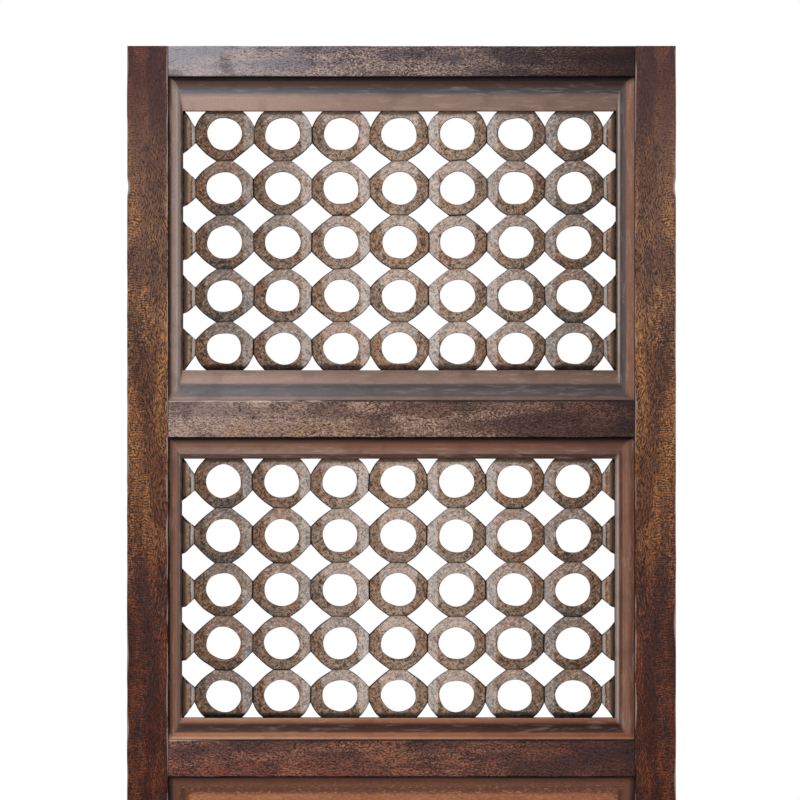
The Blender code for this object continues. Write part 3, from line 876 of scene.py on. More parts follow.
def drift(lattice, points, seed):
    """Moves the carving to its place. Inside the border it also wavers by up to DRIFT and sags by
    ROW_SAG * sin(pi * share ** 1.5), where share goes from 0 at the top to 1 at the bottom."""
    x, z = points[:, 0], points[:, 2]
    inside = np.minimum(lattice.half_width - np.abs(x), np.minimum(z - lattice.low, lattice.high - z))
    free = smooth(inside, 0.0, DRIFT_FADE)
    share = np.clip((lattice.high - z) / (lattice.high - lattice.low), 0, 1)
    sag = ROW_SAG * np.sin(math.pi * share ** 1.5)
    move_x = DRIFT * waver(x, z, DRIFT_WAVELENGTH, seed)
    move_z = DRIFT * waver(x, z, DRIFT_WAVELENGTH, seed + 1) - sag
    points[:, 0] += free * move_x + lattice.shift
    points[:, 2] += free * move_z


def make_lattice_board(name, lattice, seed):
    """Rings, stubs and foot go to their places first, and the border is laid round them."""
    skin = Skin()
    for i in range(COLUMNS):
        for j in range(ROWS):
            add_ring(skin, lattice, i, j, seed)
    for side in (-1, 1):
        for j in range(ROWS):
            add_stub(skin, lattice, side, j, seed)
    rim = add_foot(skin, lattice, seed)
    for points in skin.points:
        drift(lattice, points, seed + 5)
    profile = border_profile(lattice.strips, lattice.coves, lattice.lips)
    add_border(skin, rim, lattice.bay, profile, lattice.lean)
    outer, inner = profile[0][0], profile[-1][0]
    insets = [outer + (inner - outer) * share for share in BACK_SHARES]
    behind = [nested(rim, lattice.bay, inset, BOARD_BACK, lattice.lean) for inset in insets]
    skin.add_sheet(np.stack(behind), stain=BACK_STAIN)
    piece = skin.finish(name + "_carved")
    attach(piece, "root")
    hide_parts(name)
    return piece


LATTICE_SEED, BASE_SEED = 40, 60
BOARDS = {}
for k, (name, lattice) in enumerate(LATTICES.items()):
    BOARDS[name] = make_lattice_board(name, lattice, LATTICE_SEED + k)

# %% [markdown]
# ## The plain board
#
# The lowest board has the same kind of cove, but its middle is left plain and stands up as a flat
# field. A regular grid makes the field, and the border takes its rim points from that grid.

# %% Make the raised board
BASE_STRIPS = (0.0060, 0.0030, 0.0030)
BASE_COVES = (0.0100, 0.0100, 0.0100)
FIELD_COLUMNS, FIELD_ROWS = 72, 48
FIELD_WAVER = 0.00018
FIELD_WAVELENGTH = 0.07
FIELD_EDGE, FIELD_TONE_EDGE = 0.05, 0.04


def make_base_board(name, seed):
    """A border round a grid of nested points. The field sinks by up to about FIELD_WAVER, as
    FIELD_WAVER * (1 + waver), which fades to nothing at its rim."""
    bay = BAYS[2]
    skin = Skin()
    u, v = np.linspace(-1, 1, FIELD_COLUMNS + 1), np.linspace(-1, 1, FIELD_ROWS + 1)
    rim = np.concatenate([
        np.stack([u, np.full_like(u, -1)], -1)[:-1],
        np.stack([np.full_like(v, 1), v], -1)[:-1],
        np.stack([u[::-1], np.full_like(u, 1)], -1)[:-1],
        np.stack([np.full_like(v, -1), v[::-1]], -1),
    ])
    profile = border_profile(BASE_STRIPS, BASE_COVES, (0.0, 0.0, 0.0))
    add_border(skin, rim, bay, profile)
    grid = np.stack(np.meshgrid(u, v, indexing="ij"), -1)
    from_rim = 1 - np.abs(grid).max(-1)
    for inset, depth in ((profile[-1][0], LIP_DEPTH), (profile[0][0], BOARD_BACK)):
        points = nested(grid.reshape(-1, 2), bay, inset, depth)
        if depth == LIP_DEPTH:
            inside = smooth(from_rim.reshape(-1), 0.0, FIELD_EDGE)
            low_spots = 1 + waver(points[:, 0], points[:, 2], FIELD_WAVELENGTH, seed)
            points[:, 1] += FIELD_WAVER * inside * low_spots
        place = 2 + smooth(from_rim, 0.0, FIELD_TONE_EDGE)
        skin.add_sheet(points.reshape(*from_rim.shape, 3), place=place)
    piece = skin.finish(name + "_raised")
    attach(piece, "root")
    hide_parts(name)
    return piece


BOARDS["base_board"] = make_base_board("base_board", BASE_SEED)

# %% [markdown]
# ## Maths in the shader
#
# A finish is a network of nodes, and most of its nodes do sums. Wrapping an output socket in a
# small class lets the sums be written as sums: each operator adds one Math node. Every other node
# comes from one method, which takes the node's type, its settings and its inputs.

# %% A number in the shader, and a material under construction
COLOUR_A, COLOUR_B, COLOUR_OUT = 6, 7, 2
SPECULAR = 0.12


class Value:
    """An output socket that can be added, subtracted and multiplied like a number."""

    def __init__(self, finish, socket):
        self.finish, self.socket = finish, socket

    def math(self, operation, first, second=0.0):
        return self.finish.make("ShaderNodeMath", {"operation": operation}, {0: first, 1: second})

    def __add__(self, other):
        return self.math("ADD", self, other)

    def __sub__(self, other):
        return self.math("SUBTRACT", self, other)

    def __rsub__(self, other):
        return self.math("SUBTRACT", other, self)

    def __mul__(self, other):
        return self.math("MULTIPLY", self, other)

    def __abs__(self):
        return self.math("ABSOLUTE", self)

    def most(self, other):
        return self.math("MAXIMUM", self, other)

    __radd__ = __add__
    __rmul__ = __mul__


class Finish:
    """One material. The patterns read Object coordinates, in metres, and the marks."""

    def __init__(self, name):
        self.material = bpy.data.materials.new(name)
        self.material.use_nodes = True
        self.tree = self.material.node_tree
        self.shader = self.tree.nodes["Principled BSDF"]
        self.place = self.make("ShaderNodeTexCoord", {}, {}, "Object")
        axes = [self.make("ShaderNodeSeparateXYZ", {}, {0: self.place}, axis) for axis in range(3)]
        self.x, self.y, self.z = axes
        self.shader.inputs["Specular IOR Level"].default_value = SPECULAR

    def make(self, kind, settings, inputs, output=0):
        """Adds a node: settings first, then links and plain values. Returns one output."""
        node = self.tree.nodes.new(kind)
        for key, value in settings.items():
            setattr(node, key, value)
        for key, value in inputs.items():
            if isinstance(value, Value):
                self.tree.links.new(value.socket, node.inputs[key])
            else:
                node.inputs[key].default_value = value
        return Value(self, node.outputs[output])

    def mark(self, name):
        """One of the numbers that the skin keeps at its points."""
        return self.make("ShaderNodeAttribute", {"attribute_name": name}, {}, "Fac")

    def step(self, value, low, high):
        """0 below low, 1 above high, smooth between them."""
        settings = {"interpolation_type": "SMOOTHSTEP"}
        return self.make("ShaderNodeMapRange", settings, {0: value, 1: low, 2: high})

    def ripple(self, place, period, bend):
        """Bright and dark bands, from 0 to 1, that follow one another every period metres along
        place. bend pushes them about and is given in turns: 0.5 + 0.5 * sin(2 pi * turns)."""
        turns = place * (1 / period) + bend
        sine = self.make("ShaderNodeMath", {"operation": "SINE"}, {0: turns * (2 * math.pi)})
        return 0.5 * sine + 0.5

    def mix(self, amount, a, b, kind="MIX"):
        """Colour a where the amount is 0, and colour b where it is 1."""
        settings = {"data_type": "RGBA", "blend_type": kind}
        inputs = {0: amount, COLOUR_A: a, COLOUR_B: b}
        return self.make("ShaderNodeMix", settings, inputs, COLOUR_OUT)

    def lay(self, colour, over, pattern, low, high, amount):
        """Lays over on the colour, as thickly as amount * step(pattern, low, high)."""
        return self.mix(self.step(pattern, low, high) * amount, colour, over)

    def graded(self, value, stops):
        """Goes smoothly through the colours of (position, colour) pairs."""
        colour = stops[0][1]
        for (low, _), (high, following) in zip(stops, stops[1:]):
            colour = self.mix(self.step(value, low, high), colour, following)
        return colour

    def noise(self, period, detail=3.0, roughness=0.55, shift=0.0, mirrored=False, bend=0.0, lean=0.0):
        """Fractal noise whose features are about period = (x, y, z) metres long. lean turns the
        pattern in the plane of the panel, in radians."""
        scale = [1 / length for length in period]
        place = self.folded if mirrored else self.place
        if lean:
            place = self.make("ShaderNodeMapping", {}, {"Vector": place, "Rotation": (0.0, lean, 0.0)})
        inputs = {"Vector": place, "Location": (shift, 2 * shift, 3 * shift), "Scale": scale}
        place = self.make("ShaderNodeMapping", {}, inputs)
        inputs = {"Vector": place, "Scale": 1.0, "Detail": detail, "Roughness": roughness}
        inputs["Distortion"] = bend
        return self.make("ShaderNodeTexNoise", {}, inputs, "Fac")

    @property
    def folded(self):
        """The place with the sign of x dropped, so that both halves show the same figure."""
        return self.make("ShaderNodeCombineXYZ", {}, {0: abs(self.x), 1: self.y, 2: self.z})

    def close(self, colour, roughness, heights):
        """Links the colour, the roughness and the bumps, given as (height, metres) pairs."""
        self.tree.links.new(colour.socket, self.shader.inputs["Base Color"])
        self.tree.links.new(roughness.socket, self.shader.inputs["Roughness"])
        relief = sum(height * distance for height, distance in heights)
        inputs = {"Strength": 1.0, "Distance": 1.0, "Height": relief}
        bump = self.make("ShaderNodeBump", {}, inputs)
        self.tree.links.new(bump.socket, self.shader.inputs["Normal"])
        return self.material


def paint(red, green, blue):
    """A colour given as it looks on screen, 0 to 255, as the light values the shader needs."""
    share = np.array([red, green, blue]) / 255
    light = np.where(share < 0.04045, share / 12.92, ((share + 0.055) / 1.055) ** 2.4)
    return (*light, 1.0)


print("Mid brown as light:", np.round(paint(112, 83, 68), 3))

# %% [markdown]
# ## Old wax on brown wood
#
# The wood was stained nearly black and waxed, and years of hands took it back to brown. So each
# finish is built from a brown that changes slowly over the panel, the curly figure of the grain,
# dark pores and rubbed lighter edges. Painted light and shade are laid on the rails too: a pale
# painted sheen at the left ends of the top and upper middle rails, a painted highlight on the
# upper arris of the middle rails, which is darker beyond it, and painted shade at the right ends.
# Curly grain is fibre that waves, and it shows as fine bands that bend this way and that. A sine
# whose place is pushed about by slow noise gives such bands.

# %% The finish of uprights and cross members
# The first of these is laid for dirt and for painted shade alike.
DIRT_AND_SHADE, DARK, PLUM = paint(20, 13, 11), paint(24, 14, 12), paint(50, 37, 40)
STILE_GRAIN, RAIL_GRAIN = (0.0028, 0.0014), (0.0019, 0.0013)
STILE_PATCH, RAIL_PATCH = (0.110, 0.022), (0.030, 0.030)
STILE_FIGURE, RAIL_FIGURE = 0.8, 0.45
FIGURE_PERIOD = 0.0024
SWIRL_BEND, CROSSING_BEND, JITTER_BEND = 12, 6, 2
OUTER_ZONE = (CAD_HIGH.x - 0.026, CAD_HIGH.x - 0.014)


def member_finish(name, upright, tones, worn, seed):
    """tones gives the base colour and the gold of the figure, both already graded over the panel,
    the share of gold that a place has anyway, and how lively the grain is there. The figure moves
    the base some way to gold or dark, so it stays dim where the base is dim."""
    finish = Finish(name)
    base, gold, glow, lively_grain = tones(finish)

    def noise(length, width, detail, roughness, shift, bend=0.0):
        period = (width, width, length) if upright else (length, width, width)
        return finish.noise(period, detail, roughness, seed + shift, upright, bend)

    swirl = noise(0.030, 0.060, 2.0, 0.5, 0)
    jitter = noise(0.010, 0.006, 1.0, 0.5, 1)
    fade = noise(0.012, 0.005, 1.0, 0.5, 2)
    zone = noise(0.070, 0.014, 3.0, 0.5, 3)
    patch = noise(*(STILE_PATCH if upright else RAIL_PATCH), 3.0, 0.5, 4)
    grain = noise(*(STILE_GRAIN if upright else RAIL_GRAIN), 2.0, 0.6, 5, 0.8)
    pore = noise(0.006, 0.0009, 2.0, 0.5, 7)
    speck = finish.noise((0.0013, 0.0013, 0.0013), 2.0, 0.6, seed + 9)
    across = abs(finish.x) if upright else finish.z
    figure = finish.ripple(across, FIGURE_PERIOD, SWIRL_BEND * swirl + JITTER_BEND * jitter) - 0.5
    weight = finish.step(fade, 0.38, 0.60) * (STILE_FIGURE if upright else RAIL_FIGURE)
    if upright:
        bend = CROSSING_BEND * swirl + JITTER_BEND * jitter
        crossing = finish.ripple(finish.z, FIGURE_PERIOD, bend) - 0.5
        outer = finish.step(abs(finish.x) + 0.05 * (zone - 0.5), *OUTER_ZONE)
        figure = figure + outer * (crossing - figure)
    band = 0.5 + (figure * weight + 3.2 * (grain - 0.5)) * lively_grain
    golden = finish.step(zone, 0.42, 0.62).most(glow)
    lively = finish.mix(0.6, base, gold)
    deep = finish.mix(0.85, base, DARK)
    plum = finish.mix(0.7, base, PLUM)
    colour = finish.mix(golden * 0.3, base, lively)
    colour = finish.lay(colour, plum, 1 - patch, 0.48, 0.62, 0.7)
    colour = finish.lay(colour, lively, band, 0.50, 0.95, 0.25 + 0.75 * golden)
    colour = finish.lay(colour, deep, 1 - band, 0.50, 0.95, 0.9)
    colour = finish.mix(finish.step(pore, 0.54, 0.66) * 0.4 * lively_grain, colour, deep)
    wear, stain = finish.mark("wear"), finish.mark("stain")
    # On a rail, painted shade darkens the last part towards its right joint with the upright.
    if not upright:
        stain = stain.most(0.5 * finish.step(finish.x, 0.86 * BAY_HALF_WIDTH, BAY_HALF_WIDTH))
    # On the middle rails this also lays the painted highlight of the upper arris, besides wear.
    worn_and_lit = finish.step(wear + 0.9 * (speck - 0.5), 0.35, 0.85)
    colour = finish.mix(worn_and_lit * 0.8, colour, finish.mix(0.65, base, worn))
    # This darkens by the stain mark: painted shade at the right ends of the rails and the darker part of
    # their upper arris.
    colour = finish.mix(stain * 0.9, colour, DIRT_AND_SHADE)
    roughness = 0.46 + 0.22 * grain - 0.08 * wear
    heights = [(grain, 0.00025), (band, 0.00004), (pore, -0.0002), (speck, 0.0001)]
    return finish.close(colour, roughness, heights)


def stile_tones(finish):
    """The tones change down the upright: dull at the very top, then a light brown, and a dark
    red brown at its foot. The grain is calm at the top and again in the lower half."""
    base = finish.graded(-1 * finish.z, [
        (0.00, paint(69, 46, 46)), (0.11, paint(109, 79, 66)), (0.20, paint(96, 69, 59)),
        (0.31, paint(98, 61, 45)), (0.41, paint(87, 53, 40)), (0.52, paint(65, 35, 28)),
        (0.68, paint(55, 26, 20)),
    ])
    gold = finish.graded(-1 * finish.z, [(0.04, RUSSET), (0.12, GOLD), (0.33, GOLD), (0.55, RUST)])
    lively_grain = 0.45 + 0.55 * finish.step(-1 * finish.z, 0.03, 0.13)
    return base, gold, 0.0, lively_grain - 0.3 * finish.step(-1 * finish.z, 0.40, 0.55)


def rail_tones(span, left, middle, right, gold, glow_middle=0.0, glow_reach=0.0, calm=0.0):
    """The tones change along the rail: on the top and upper middle rails a pale painted sheen lies
    at the left end and fades to dark at the right. A glow of gold lies along its lower edge,
    glow_reach to either side of glow_middle. The grain of the left end is calm, where it was planed
    last."""
    def tones(finish):
        reach = BAY_HALF_WIDTH
        base = finish.graded(finish.x, [(-reach, left), (0.0, middle), (0.8 * reach, right)])
        glow = 0.0
        if glow_reach:
            aside = finish.step(abs(finish.x - glow_middle), 0.5 * glow_reach, glow_reach)
            height = span[1] - span[0]
            above = finish.step(finish.z, span[0] + 0.2 * height, span[0] + 0.6 * height)
            uneven = finish.noise((0.02, 0.02, 0.006), 2.0, 0.5, 3.0)
            glow = (1 - aside) * (1 - above) * finish.step(uneven, 0.35, 0.60)
        colour = finish.graded(finish.x, [(0.0, gold[0]), (0.9 * reach, gold[2])])
        colour = finish.mix(glow, colour, gold[1])
        return base, colour, glow, 1 - calm + calm * finish.step(finish.x, -reach, -0.02)
    return tones


GOLD, RUST, RUSSET = paint(200, 142, 86), paint(154, 84, 52), paint(146, 88, 66)
SHEEN_ROSE, YELLOW = paint(216, 182, 160), paint(206, 160, 104)
RED_GOLD, EMBER = paint(196, 128, 98), paint(176, 84, 52)
# The rails' worn tone also paints the highlight on the upper arris of the middle rails.
STILE_WORN, RAIL_WEAR_AND_HIGHLIGHT = paint(184, 164, 154), paint(222, 206, 198)
RED_GOLDS = (RED_GOLD, EMBER, paint(122, 66, 52))
# For each rail the tones at its left, middle and right, and the gold at its left, in its glow and
# at its right. Then where the glow lies, how far it reaches and how calm the left end's grain is.
# The pale greyish tones and rose gold at the left of the top and upper middle rails are painted sheen.
WOODS = {
    "top_rail": (
        paint(145, 142, 150), paint(88, 76, 82), paint(36, 24, 25),
        (SHEEN_ROSE, RUSSET, paint(92, 57, 48)), 0.0, 0.0, 0.6,
    ),
    "upper_middle_rail": (
        paint(138, 117, 112), paint(99, 73, 63), paint(62, 40, 36),
        (SHEEN_ROSE, YELLOW, paint(130, 92, 80)), -0.11, 0.08, 0.2,
    ),
    "lower_middle_rail": (
        paint(91, 63, 58), paint(79, 52, 47), paint(70, 45, 43), RED_GOLDS, -0.12, 0.16,
    ),
    "bottom_rail": (paint(84, 56, 51), paint(78, 51, 46), paint(66, 42, 40), RED_GOLDS),
}
STILE_SEED, RAIL_SEED = 1.0, 11.0
stile_wood = member_finish("stile_old_brown", True, stile_tones, STILE_WORN, STILE_SEED)
for name in STILES:
    MEMBERS[name].data.materials.append(stile_wood)
for k, (name, wood) in enumerate(WOODS.items()):
    tones = rail_tones(SPANS[name], *wood)
    finish = member_finish(name + "_brown", False, tones, RAIL_WEAR_AND_HIGHLIGHT, RAIL_SEED + k)
    MEMBERS[name].data.materials.append(finish)

# %% [markdown]
# ## The carved boards
#
# The bevels were cut with a gouge and never planed, so dirt sits in a fine mottle all over them.
# Their tone depends on the way they look, as painted light and shade: those that look to the
# middle are painted pale with sheen, those that look up lighter and those that look down darker,
# while the others stay brown. The middle of the panel is painted brighter than its sides. The flat
# corners left beside each hole are rubbed to orange.

# %% The tones of the borders
TONES = {
    "shadow": paint(26, 14, 11), "lip_shade": paint(56, 47, 42), "umber": paint(82, 56, 48),
    "chestnut": paint(98, 61, 46), "plum": paint(73, 51, 48), "slate": paint(85, 76, 76),
    "ash": paint(106, 103, 107), "tan": paint(127, 91, 74), "rose": paint(134, 112, 102),
    "pale": paint(154, 139, 132), "blush": paint(160, 134, 123), "amber": paint(164, 110, 82),
    "cream": paint(200, 154, 126),
}
# Each side's tones from the strip (0 to 1) over the cove (to 2) to the lip (to 3). They also hold
# painted light and shade: shadow under the rail above and beside the left upright, a painted
# highlight on the strip over the rail below, shade at the lip's inner edge on the sides and at the
# top, and a cove that is lit on the left side and shaded on the right.
BORDERS = {
    "upper_lattice": {
        "left": (
            (0.15, "shadow"), (0.38, "umber"), (0.64, "rose"), (1.3, "pale"), (1.9, "pale"),
            (2.3, "umber"), (2.8, "lip_shade"),
        ),
        "right": (
            (0.0, "tan"), (0.9, "tan"), (1.25, "slate"), (1.65, "slate"), (2.2, "pale"), (2.8, "lip_shade"),
        ),
        "top": (
            (0.6, "shadow"), (1.1, "umber"), (1.5, "slate"), (1.9, "ash"), (2.3, "blush"),
            (2.92, "blush"), (2.98, "slate"),
        ),
        "bottom": (
            (0.0, "blush"), (0.4, "blush"), (0.85, "ash"), (1.7, "ash"), (2.2, "blush"), (3.0, "rose"),
        ),
    },
    "lower_lattice": {
        "left": (
            (0.2, "shadow"), (0.5, "chestnut"), (1.1, "tan"), (1.9, "rose"), (2.35, "umber"),
            (2.9, "lip_shade"),
        ),
        "right": (
            (0.3, "chestnut"), (0.95, "tan"), (1.3, "tan"), (1.65, "chestnut"), (2.2, "pale"),
            (2.7, "rose"),
        ),
        "top": (
            (0.3, "shadow"), (0.8, "umber"), (1.2, "tan"), (1.95, "rose"), (2.1, "umber"),
            (2.7, "umber"), (2.95, "lip_shade"),
        ),
        "bottom": (
            (0.3, "cream"), (0.6, "amber"), (0.95, "amber"), (1.2, "plum"), (1.72, "plum"),
            (2.05, "tan"), (2.7, "amber"), (3.0, "pale"),
        ),
    },
}
# How much light is left at the left, in the middle and at the right of the upper and lower sides.
FADE = {
    "upper_lattice": ((1.0, 1.0, 1.0, 1), (0.66, 0.63, 0.61, 1), (0.44, 0.38, 0.36, 1)),
    "lower_lattice": ((1.0, 1.0, 1.0, 1), (0.85, 0.72, 0.66, 1), (0.58, 0.45, 0.41, 1)),
}


def border_colour(finish, ramps, fade, upward):
    """A ramp of tones along the profile for each side. Above and below the lattice they darken
    from left to right."""
    place = finish.mark("place")
    graded = {}
    for side, ramp in ramps.items():
        graded[side] = finish.graded(place, [(at, TONES[tone]) for at, tone in ramp])
    sides = finish.mix(finish.step(finish.x, -MITRE_WIDTH, MITRE_WIDTH), graded["left"], graded["right"])
    ends = finish.mix(finish.step(upward, -MITRE_WIDTH, MITRE_WIDTH), graded["top"], graded["bottom"])
    reach = BAY_HALF_WIDTH
    shade = finish.graded(finish.x, [(-0.8 * reach, fade[0]), (0.0, fade[1]), (reach, fade[2])])
    return finish.mix(abs(upward), sides, finish.mix(1.0, ends, shade, "MULTIPLY"))


# %% The finish of the lattice boards
# The darkest tone, laid for dirt and for painted shade alike.
GRIME_AND_SHADE = paint(21, 17, 15)
WARMTH = {"upper_lattice": 0.0, "lower_lattice": 0.05}
LIT_MIDDLE_ZONE = (0.03, 0.19)
LIT_AND_SHADED_TONES = {
    "pale": (paint(140, 130, 124), paint(199, 185, 176)),
    "brown": (paint(114, 87, 68), paint(148, 121, 101)),
    "top": (paint(126, 109, 99), paint(184, 164, 152)),
    "bottom": (paint(94, 80, 70), paint(173, 147, 127)),
    "land": (paint(122, 90, 66), paint(152, 120, 97)),
}
# The pale tone of a stub's facet that looks to the middle: a painted sheen.
STUB_SHEEN = paint(206, 198, 190)
ORANGE, STONE = paint(150, 98, 66), paint(104, 104, 100)
CHIP, PIT = paint(214, 202, 192), paint(28, 23, 20)
BORDER_WORN, BORDER_GRIMED = paint(196, 170, 158), paint(50, 36, 32)
RUBBED_AND_LIT_WOOD = paint(160, 130, 106)


def lattice_finish(name, ramps, fade, warmth, seed):
    """The tones of LIT_AND_SHADED_TONES are those of the sides of the panel and of its middle, which is
    painted brighter as a pool of light. Each pair belongs to one way a bevel looks, as painted light
    and shade: pale with a painted sheen where it looks to the middle, lighter where it looks up and
    darker where it looks down. warmth makes the orange patches larger and the grey ones smaller."""
    finish = Finish(name)
    facing, upward, stain, wear, moulded = [finish.mark(mark) for mark in MARKS[:5]]
    # The middle of the panel takes the brighter tones: a painted pool of light.
    middle = 1 - finish.step(abs(finish.x), *LIT_MIDDLE_ZONE)
    cloud = finish.noise((0.04, 0.04, 0.04), 2.0, 0.5, seed)
    mottle = finish.noise((0.0019, 0.0019, 0.0046), 2.5, 0.6, seed + 2, False, 1.0, 0.6)
    gouge = finish.noise((0.0046, 0.0019, 0.0018), 2.0, 0.6, seed + 3, False, 0.8, 0.6)
    grit = finish.noise((0.0013, 0.0013, 0.0013), 2.0, 0.6, seed + 4)
    tones = {look: finish.mix(middle, *pair) for look, pair in LIT_AND_SHADED_TONES.items()}
    # Each bevel takes the tone of the way it looks: painted light and shade.
    colour = finish.mix(facing.most(0.0), tones["land"], tones["pale"])
    colour = finish.mix((-1 * facing).most(0.0), colour, tones["brown"])
    colour = finish.mix(upward.most(0.0), colour, tones["top"])
    colour = finish.mix((-1 * upward).most(0.0), colour, tones["bottom"])
    # The pale facet of a stub: painted sheen.
    colour = finish.lay(colour, STUB_SHEEN, facing, 1.0, 2.4, 0.75)
    warm = finish.mix(0.5, colour, ORANGE)
    cold = finish.mix(0.5, colour, STONE)
    colour = finish.lay(colour, warm, cloud + warmth, 0.48, 0.68, 0.6)
    colour = finish.lay(colour, cold, 1 - cloud - warmth, 0.48, 0.68, 0.6)
    light = finish.mix(0.5, colour, CHIP)
    dark = finish.mix(0.88, colour, PIT)
    # Pale chips lie thicker and dark pits thinner where a bevel looks to the middle or up: painted light
    # and shade.
    chips_where_lit = 0.50 + 0.45 * facing.most(upward)
    pits_where_shaded = 0.85 - 0.3 * facing.most(upward)
    colour = finish.lay(colour, light, gouge, 0.53, 0.66, chips_where_lit)
    colour = finish.lay(colour, dark, 1 - mottle, 0.505, 0.605, pits_where_shaded)
    colour = finish.lay(colour, dark, 1 - gouge, 0.53, 0.65, pits_where_shaded)
    colour = finish.lay(colour, dark, grit, 0.54, 0.68, 0.35)

    across = finish.noise((0.024, 0.004, 0.003), 4.0, 0.6, seed + 6, False, 0.5)
    upright = finish.noise((0.003, 0.004, 0.024), 4.0, 0.6, seed + 6, False, 0.5)
    streak = across * abs(upward) + upright * (1 - abs(upward))
    smear = finish.noise((0.020, 0.012, 0.020), 2.0, 0.5, seed + 7)
    border = border_colour(finish, ramps, fade, upward)
    worn = finish.mix(0.5, border, BORDER_WORN)
    grimed = finish.mix(0.5, border, BORDER_GRIMED)
    shaded = (-1 * upward).most(0.0) * (1 - finish.step(finish.mark("place"), 0.9, 1.5))
    border = finish.mix(finish.step(streak, 0.50, 0.72) * 0.4 * (1 - shaded), border, worn)
    border = finish.lay(border, grimed, 1 - smear, 0.50, 0.75, 0.5)
    border = finish.lay(border, grimed, grit, 0.54, 0.68, 0.35)
    colour = finish.mix(moulded, colour, border)
    # The stain mark holds dirt and painted shade alike, and both are laid on here.
    settled_and_shaded = stain * (0.75 + 0.5 * finish.noise((0.006, 0.02, 0.02), 1.0, 0.5, seed + 8))
    settled_and_shaded = settled_and_shaded * (1 - moulded * upward.most(0.0))
    dirt_and_shade = finish.step(settled_and_shaded + 0.45 * (mottle - 0.5), 0.12, 0.80)
    colour = finish.mix(dirt_and_shade, colour, GRIME_AND_SHADE)
    # Wear, and the painted light just under the upper border, lighten the carving here.
    worn_and_lit = finish.step(wear + 0.8 * (mottle - 0.5), 0.35, 0.9) * 0.35 * (1 - moulded)
    colour = finish.mix(worn_and_lit, colour, RUBBED_AND_LIT_WOOD)
    roughness = 0.50 + 0.25 * mottle - 0.10 * moulded
    heights = [(mottle, 0.0003), (gouge, 0.0003), (grit, 0.00012), (streak * moulded, 0.0002)]
    return finish.close(colour, roughness, heights)


LATTICE_FINISH_SEED, SEED_STEP = 20.0, 5
for k, name in enumerate(LATTICES):
    seed = LATTICE_FINISH_SEED + SEED_STEP * k
    finish = lattice_finish(f"{name}_waxed", BORDERS[name], FADE[name], WARMTH[name], seed)
    BOARDS[name].data.materials.append(finish)


# %% The finish of the plain board
DIM_SIDE = (0.05, 0.20)
FIELD_TONES = (paint(134, 82, 57), paint(177, 118, 84))
FIELD_DIM, FIELD_BLOTCH = paint(96, 54, 38), paint(106, 66, 48)
FIELD_LIGHT, FIELD_DARK = paint(190, 138, 92), paint(66, 40, 30)
COVE_TONES = (paint(104, 66, 50), paint(90, 56, 44), paint(98, 60, 46))
COVE_WORN = paint(150, 104, 80)
BASE_FINISH_SEED = 40.0


def base_finish(name, seed):
    """Shadow and old dirt lie on the strip under the rail, and the tone rises to the field."""
    finish = Finish(name)
    stain, wear, place = finish.mark("stain"), finish.mark("wear"), finish.mark("place")
    blotch = finish.noise((0.12, 0.12, 0.03), 3.0, 0.5, seed)
    streak = finish.noise((0.06, 0.006, 0.003), 4.0, 0.6, seed + 2, False, 0.6)
    speck = finish.noise((0.003, 0.0012, 0.0012), 2.0, 0.6, seed + 4)
    field = finish.mix(streak, *FIELD_TONES)
    field = finish.lay(field, FIELD_DIM, finish.x, *DIM_SIDE, 0.35)
    colour = finish.graded(place, [
        (0.2, TONES["shadow"]), (0.9, TONES["umber"]), *zip((1.3, 1.7, 2.1), COVE_TONES), (2.9, field),
    ])
    colour = finish.lay(colour, FIELD_BLOTCH, blotch, 0.4, 0.65, 0.4)
    on_field = finish.step(place, 0.9, 2.0)
    colour = finish.mix(finish.step(speck, 0.56, 0.70) * 0.5 * on_field, colour, FIELD_LIGHT)
    colour = finish.lay(colour, FIELD_DARK, 1 - speck, 0.54, 0.68, 0.4)
    colour = finish.mix(finish.step(stain, 0.5, 1.0), colour, DIRT_AND_SHADE)
    colour = finish.mix(wear * 0.4, colour, COVE_WORN)
    roughness = 0.40 + 0.2 * streak
    return finish.close(colour, roughness, [(streak, 0.0002), (speck, 0.0001)])


BOARDS["base_board"].data.materials.append(base_finish("base_board_waxed", BASE_FINISH_SEED))

# %% [markdown]
# ## A plain studio
#
# The panel hangs over a pale floor. A large soft light stands high in front. A tall one stands
# before the middle of the panel, so the bevels that look to the middle are the brighter ones on
# both halves.

# %% Floor and lights
FLOOR_GAP = 0.004
FLOOR_HEIGHT = CAD_LOW.z - FLOOR_GAP
FLOOR_HALF = 2.0
FLOOR_COLOUR, FLOOR_ROUGHNESS = (0.82, 0.82, 0.82, 1), 0.9

corners = [(FLOOR_HALF * x, FLOOR_HALF * y, FLOOR_HEIGHT) for x, y in CORNER_SIGNS]
floor_mesh = bpy.data.meshes.new("floor")
floor_mesh.from_pydata(corners, [], [(0, 1, 2, 3)])
floor = bpy.data.objects.new("floor", floor_mesh)
bpy.context.scene.collection.objects.link(floor)
floor_mesh.materials.append(bpy.data.materials.new("floor_pale"))
floor_mesh.materials[0].use_nodes = True
floor_shader = floor_mesh.materials[0].node_tree.nodes["Principled BSDF"]
floor_shader.inputs["Base Color"].default_value = FLOOR_COLOUR
floor_shader.inputs["Roughness"].default_value = FLOOR_ROUGHNESS
floor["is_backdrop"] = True


def add_light(name, place, aim, size, power):
    """A rectangle of soft light, (width, height) in metres, turned to face aim."""
    light = bpy.data.lights.new(name, "AREA")
    light.shape = "RECTANGLE"
    light.size, light.size_y = size
    light.energy = power
    lamp = bpy.data.objects.new(name, light)
    lamp.location = place
    direction = Vector(aim) - Vector(place)
    lamp.rotation_euler = direction.to_track_quat("-Z", "Y").to_euler()
    lamp.visible_camera = False
    bpy.context.scene.collection.objects.link(lamp)
    return lamp


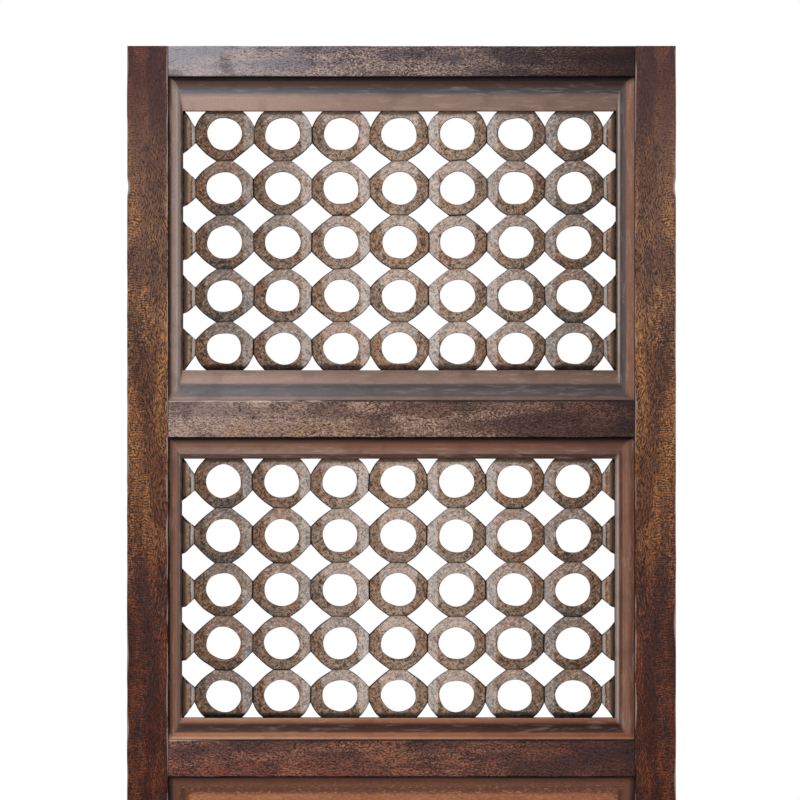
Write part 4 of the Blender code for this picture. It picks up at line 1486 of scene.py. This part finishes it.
MIDDLE = (0.0, 0.0, (CAD_LOW.z + CAD_HIGH.z) / 2)
BETWEEN_LATTICES = (0.0, 0.0, -0.35)
add_light("middle_light", (0.0, -0.75, -0.25), BETWEEN_LATTICES, size=(0.10, 0.9), power=1.7)
add_light("upper_light", (0.0, -2.2, 1.4), MIDDLE, size=(1.6, 1.0), power=40.0)

# %% [markdown]
# ## The white room and the camera
#
# The world is white behind the panel, which fills every opening as in a cut-out picture, and
# dimmer in front, so that the lights can model the carving. The camera stands far off with a long
# lens, which keeps the walls of the piercings nearly hidden.

# %% World and camera
ROOM_LEVEL, ROOM_FADE = 0.4, (-0.2, 0.4)
world = bpy.data.worlds.new("white_room")
world.use_nodes = True
tree = world.node_tree
sky = tree.nodes["Background"]
sky.inputs["Color"].default_value = (1, 1, 1, 1)
direction = tree.nodes.new("ShaderNodeTexCoord")
axes = tree.nodes.new("ShaderNodeSeparateXYZ")
level = tree.nodes.new("ShaderNodeMapRange")
level.interpolation_type = "SMOOTHSTEP"
for key, value in enumerate((*ROOM_FADE, ROOM_LEVEL, 1.0), 1):
    level.inputs[key].default_value = value
tree.links.new(direction.outputs["Generated"], axes.inputs[0])
tree.links.new(axes.outputs["Y"], level.inputs[0])
tree.links.new(level.outputs[0], sky.inputs["Strength"])
bpy.context.scene.world = world
bpy.context.scene.view_settings.view_transform = "Standard"

CAMERA_DISTANCE = 6.0
CAMERA_X, CAMERA_Z = -0.0014, -0.3136
SIGHT_WIDTH = 0.740
SENSOR = 36.0
camera_data = bpy.data.cameras.new("camera")
camera_data.sensor_width = SENSOR
camera_data.lens = SENSOR * CAMERA_DISTANCE / SIGHT_WIDTH
camera_data.clip_end = 50.0
camera = bpy.data.objects.new("camera", camera_data)
camera.location = (CAMERA_X, FRONT - CAMERA_DISTANCE, CAMERA_Z)
camera.rotation_euler = (math.pi / 2, 0, 0)
bpy.context.scene.collection.objects.link(camera)
bpy.context.scene.camera = camera
print(f"Lens {camera_data.lens:.0f} mm")

# %% [markdown]
# ## Sizes
#
# The box of the finished model must be the box of the joiner's model, so both are written down.

# %% Write the sizes
low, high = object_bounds()
print("Panel box, mm:", [round(1000 * (b - a), 1) for a, b in zip(low, high)])
